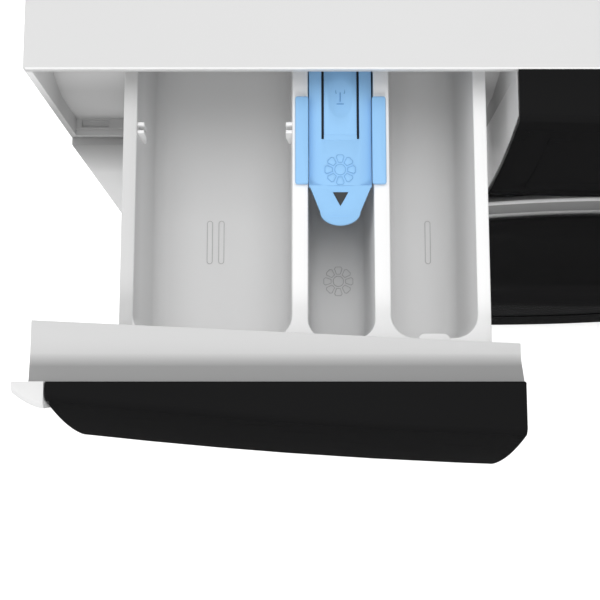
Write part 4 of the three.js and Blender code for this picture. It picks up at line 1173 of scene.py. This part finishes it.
def add_suspension(word, side):
    x = side * SPRING_X
    low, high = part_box(f"spring_{word}")
    bottom, top = low.z / MM, high.z / MM
    steps = SPRING_TURNS * TURN_STEPS
    coil = []
    for k, z in enumerate(spread(bottom + 10, top - 10, steps)):
        turn = 2 * pi * k / TURN_STEPS
        coil.append((x + SPRING_RADIUS * cos(turn), SPRING_BACK + SPRING_RADIUS * sin(turn), z))
    ends = [(x, SPRING_BACK, z) for z in (bottom + 0.6, bottom + 6, top - 6, top - 0.6)]
    spring = wire(f"spring_{word}_fine", [*ends[:2], *coil, *ends[2:]], 1.4)
    dress_between(spring, STAINLESS,
                  [f"spring_{word}"])
    dress_copy(f"damper_cylinder_{word}", RUBBER_GREY, 0.8)


def add_heater():
    low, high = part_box("heating_element")
    level = (low.z + high.z) / 2 / MM
    half = [(-25, 484, level), (-25, 400, level), (-25, 250, level), (-18, 224, level)]
    loop = [*half, (0, 215, level), *[(-x, b, z) for x, b, z in reversed(half)]]
    element = wire("heating_element_fine", evenly(curved(loop, 8), 3), 3.9, around=5)
    dress(element, STAINLESS, "heating_element")


def placed(turn, across, out, b):
    """A point given across and out from the drum's axis, turned by an angle."""
    x, height = out * cos(turn) - across * sin(turn), out * sin(turn) + across * cos(turn)
    return at(x, b, DRUM_Z + height)


def add_drum():
    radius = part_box("drum_shell")[1].x / MM
    outside = [(0, 450.2), (150, 450.2), *curved([(225, 450), (236, 447), (radius, 438)], 4),
               *curved([(radius, 100), (238, 90), (230, 85), (172, 84)], 4)]
    inside = [(172, 85.6), *curved([(229, 86.6), (236.4, 91), (radius - 1.5, 101)], 4),
              *curved([(radius - 1.5, 437), (235, 445.6), (224, 448.6), (150, 448.8)], 4), (0, 448.8)]
    dress(turned("drum_shell_fine", [*outside, *inside], sides=192), PERFORATED, "drum_shell", angle=40)


LIFTER_FOOT = 238  # how far out the lifters stand on the drum's wall
LIFTER_HALF = [(-33, 237.5), (-24, 232), (-13, 199), (-8, 191.5)]  # across and out from the axis


def add_lifters_and_spider():
    crown = curved([*LIFTER_HALF, (0, 190), *[(-u, v) for u, v in reversed(LIFTER_HALF)]], 4)
    arm = [(-17, 0), (17, 0), (13, 222), (-13, 222)]
    for turn in turns(3):
        sections = []
        for b, scale in ((102, 0.86), (112, 1.0), (418, 1.0), (428, 0.86)):
            sections.append([placed(pi / 2 + turn, u * scale, LIFTER_FOOT - (LIFTER_FOOT - v) * scale, b)
                             for u, v in crown])
        lifter = soften(lofted("drum_lifter", sections), 1.0, 3)
        dress(lifter, STAINLESS, body="drum", angle=60)
        ends = [[placed(pi / 6 + turn, u, v, b) for u, v in arm] for b in (451.2, 459.8)]
        dress(soften(lofted("spider_arm", ends), 2.0, 3), CAST_ALUMINIUM, body="drum")
    dress_copy("drum_spider", CAST_ALUMINIUM, 0.8)
    boss = curved([(0, 444), (20, 444), (46, 445.5), (70, 448.9)])
    dress(turned("drum_back_boss", boss, sides=96, closed=False), STAINLESS, body="drum")


def add_foot(node):
    low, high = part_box(node)
    x, b = (low.x + high.x) / 2 / MM, ((low.y + high.y) / 2 - FRONT_Y) / MM
    edge = curved([(20.5, 0.8), (22, 3), (21.5, 7), (16, 9.5), (10, 11)], 3)
    pad = [(0, 0), (18, 0), *edge, (9, 13), (5, 13), (0, 13)]
    dress(turned(f"{node}_fine", pad, x, sides=48, upright=b, closed=False), RUBBER_GREY, node)
    nut = soften(standing("foot_nut", circle(x, b, 9.6, 6), 13, 19), 0.6)
    dress(nut, ZINC_STEEL, body=BODY_OF[node])
    thread = []
    for z in spread(19, 47.5, 15):
        thread += [(4.4, z), (5.2, z + 1)]
    stem = turned("foot_stem", [(0, 19), *thread, (0, 50)], x, sides=24, upright=b, closed=False)
    dress(stem, ZINC_STEEL, body=BODY_OF[node], angle=20)


add_door_ring()
add_door_rear()
add_door_glass()
add_door_hardware()
add_gasket()
add_cabinet()
add_rear()
add_water_fittings()
add_pump()
add_tub_shells()
add_suspension("left", -1)
add_suspension("right", 1)
add_heater()
add_drum()
add_lifters_and_spider()
for corner in ("front_left", "front_right", "rear_left", "rear_right"):
    add_foot(f"foot_{corner}")


# ---- Every other CAD node: the same shape with its edges rounded ----
for node in frame["nodes"]:
    if node not in made_for:
        dress_copy(node)


# ---- Studio ----
def add_world():
    """Even white light, while glossy faces mirror a dim sky over a dark ground."""
    world = bpy.data.worlds.new("studio")
    world.use_nodes = True
    tree = world.node_tree
    even = tree.nodes["Background"]
    fill(tree, even, {"Color": (1, 1, 1, 1), "Strength": 0.5})
    height = output_of(tree, "SeparateXYZ", "Z", Vector=output_of(tree, "TexCoord", "Generated"))
    rise = output_of(tree, "MapRange", "Result", Value=height, From_Min=-0.05, From_Max=1.0, To_Min=0.03,
                     To_Max=0.5)
    mirrored = output_of(tree, "Background", "Background", Strength=rise)
    backdrop = output_of(tree, "Background", "Background", Color=(1, 1, 1, 1))
    shown = even.outputs["Background"]
    for ray, light in (("Is Glossy Ray", mirrored), ("Is Camera Ray", backdrop)):
        choose = tree.nodes.new("ShaderNodeMixShader")
        for socket, source in zip(choose.inputs, (output_of(tree, "LightPath", ray), shown, light)):
            tree.links.new(source, socket)
        shown = choose.outputs["Shader"]
    tree.links.new(shown, tree.nodes["World Output"].inputs["Surface"])
    bpy.context.scene.world = world


def add_floor():
    bpy.ops.mesh.primitive_plane_add(size=14, location=(0, 0, 0))
    floor = bpy.context.object
    floor.name = "floor"
    look = surface("floor_white", 0.93, 0.9, variation=0.004, bump=0.0,
                   Emission_Color=(1, 1, 1, 1), Emission_Strength=0.35)
    floor.data.materials.append(look)
    floor.visible_glossy = False


def add_sun(name, bearing, rise, spread_angle, strength):
    """A broad soft light; bearing is 0 from the front and 90 from the machine's right as one faces it."""
    data = bpy.data.lights.new(name, "SUN")
    data.angle = radians(spread_angle)
    data.energy = strength
    lamp = new_object(name, data)
    lamp.rotation_euler = (radians(90 - rise), 0, radians(bearing))
    lamp.visible_glossy = False


bpy.context.scene.view_settings.view_transform = "Standard"
add_world()
add_floor()
add_sun("key", 180, 78, 45, 1.3)
add_sun("side", -90, 30, 30, 0.4)
add_sun("front", 0, 35, 20, 0.9)
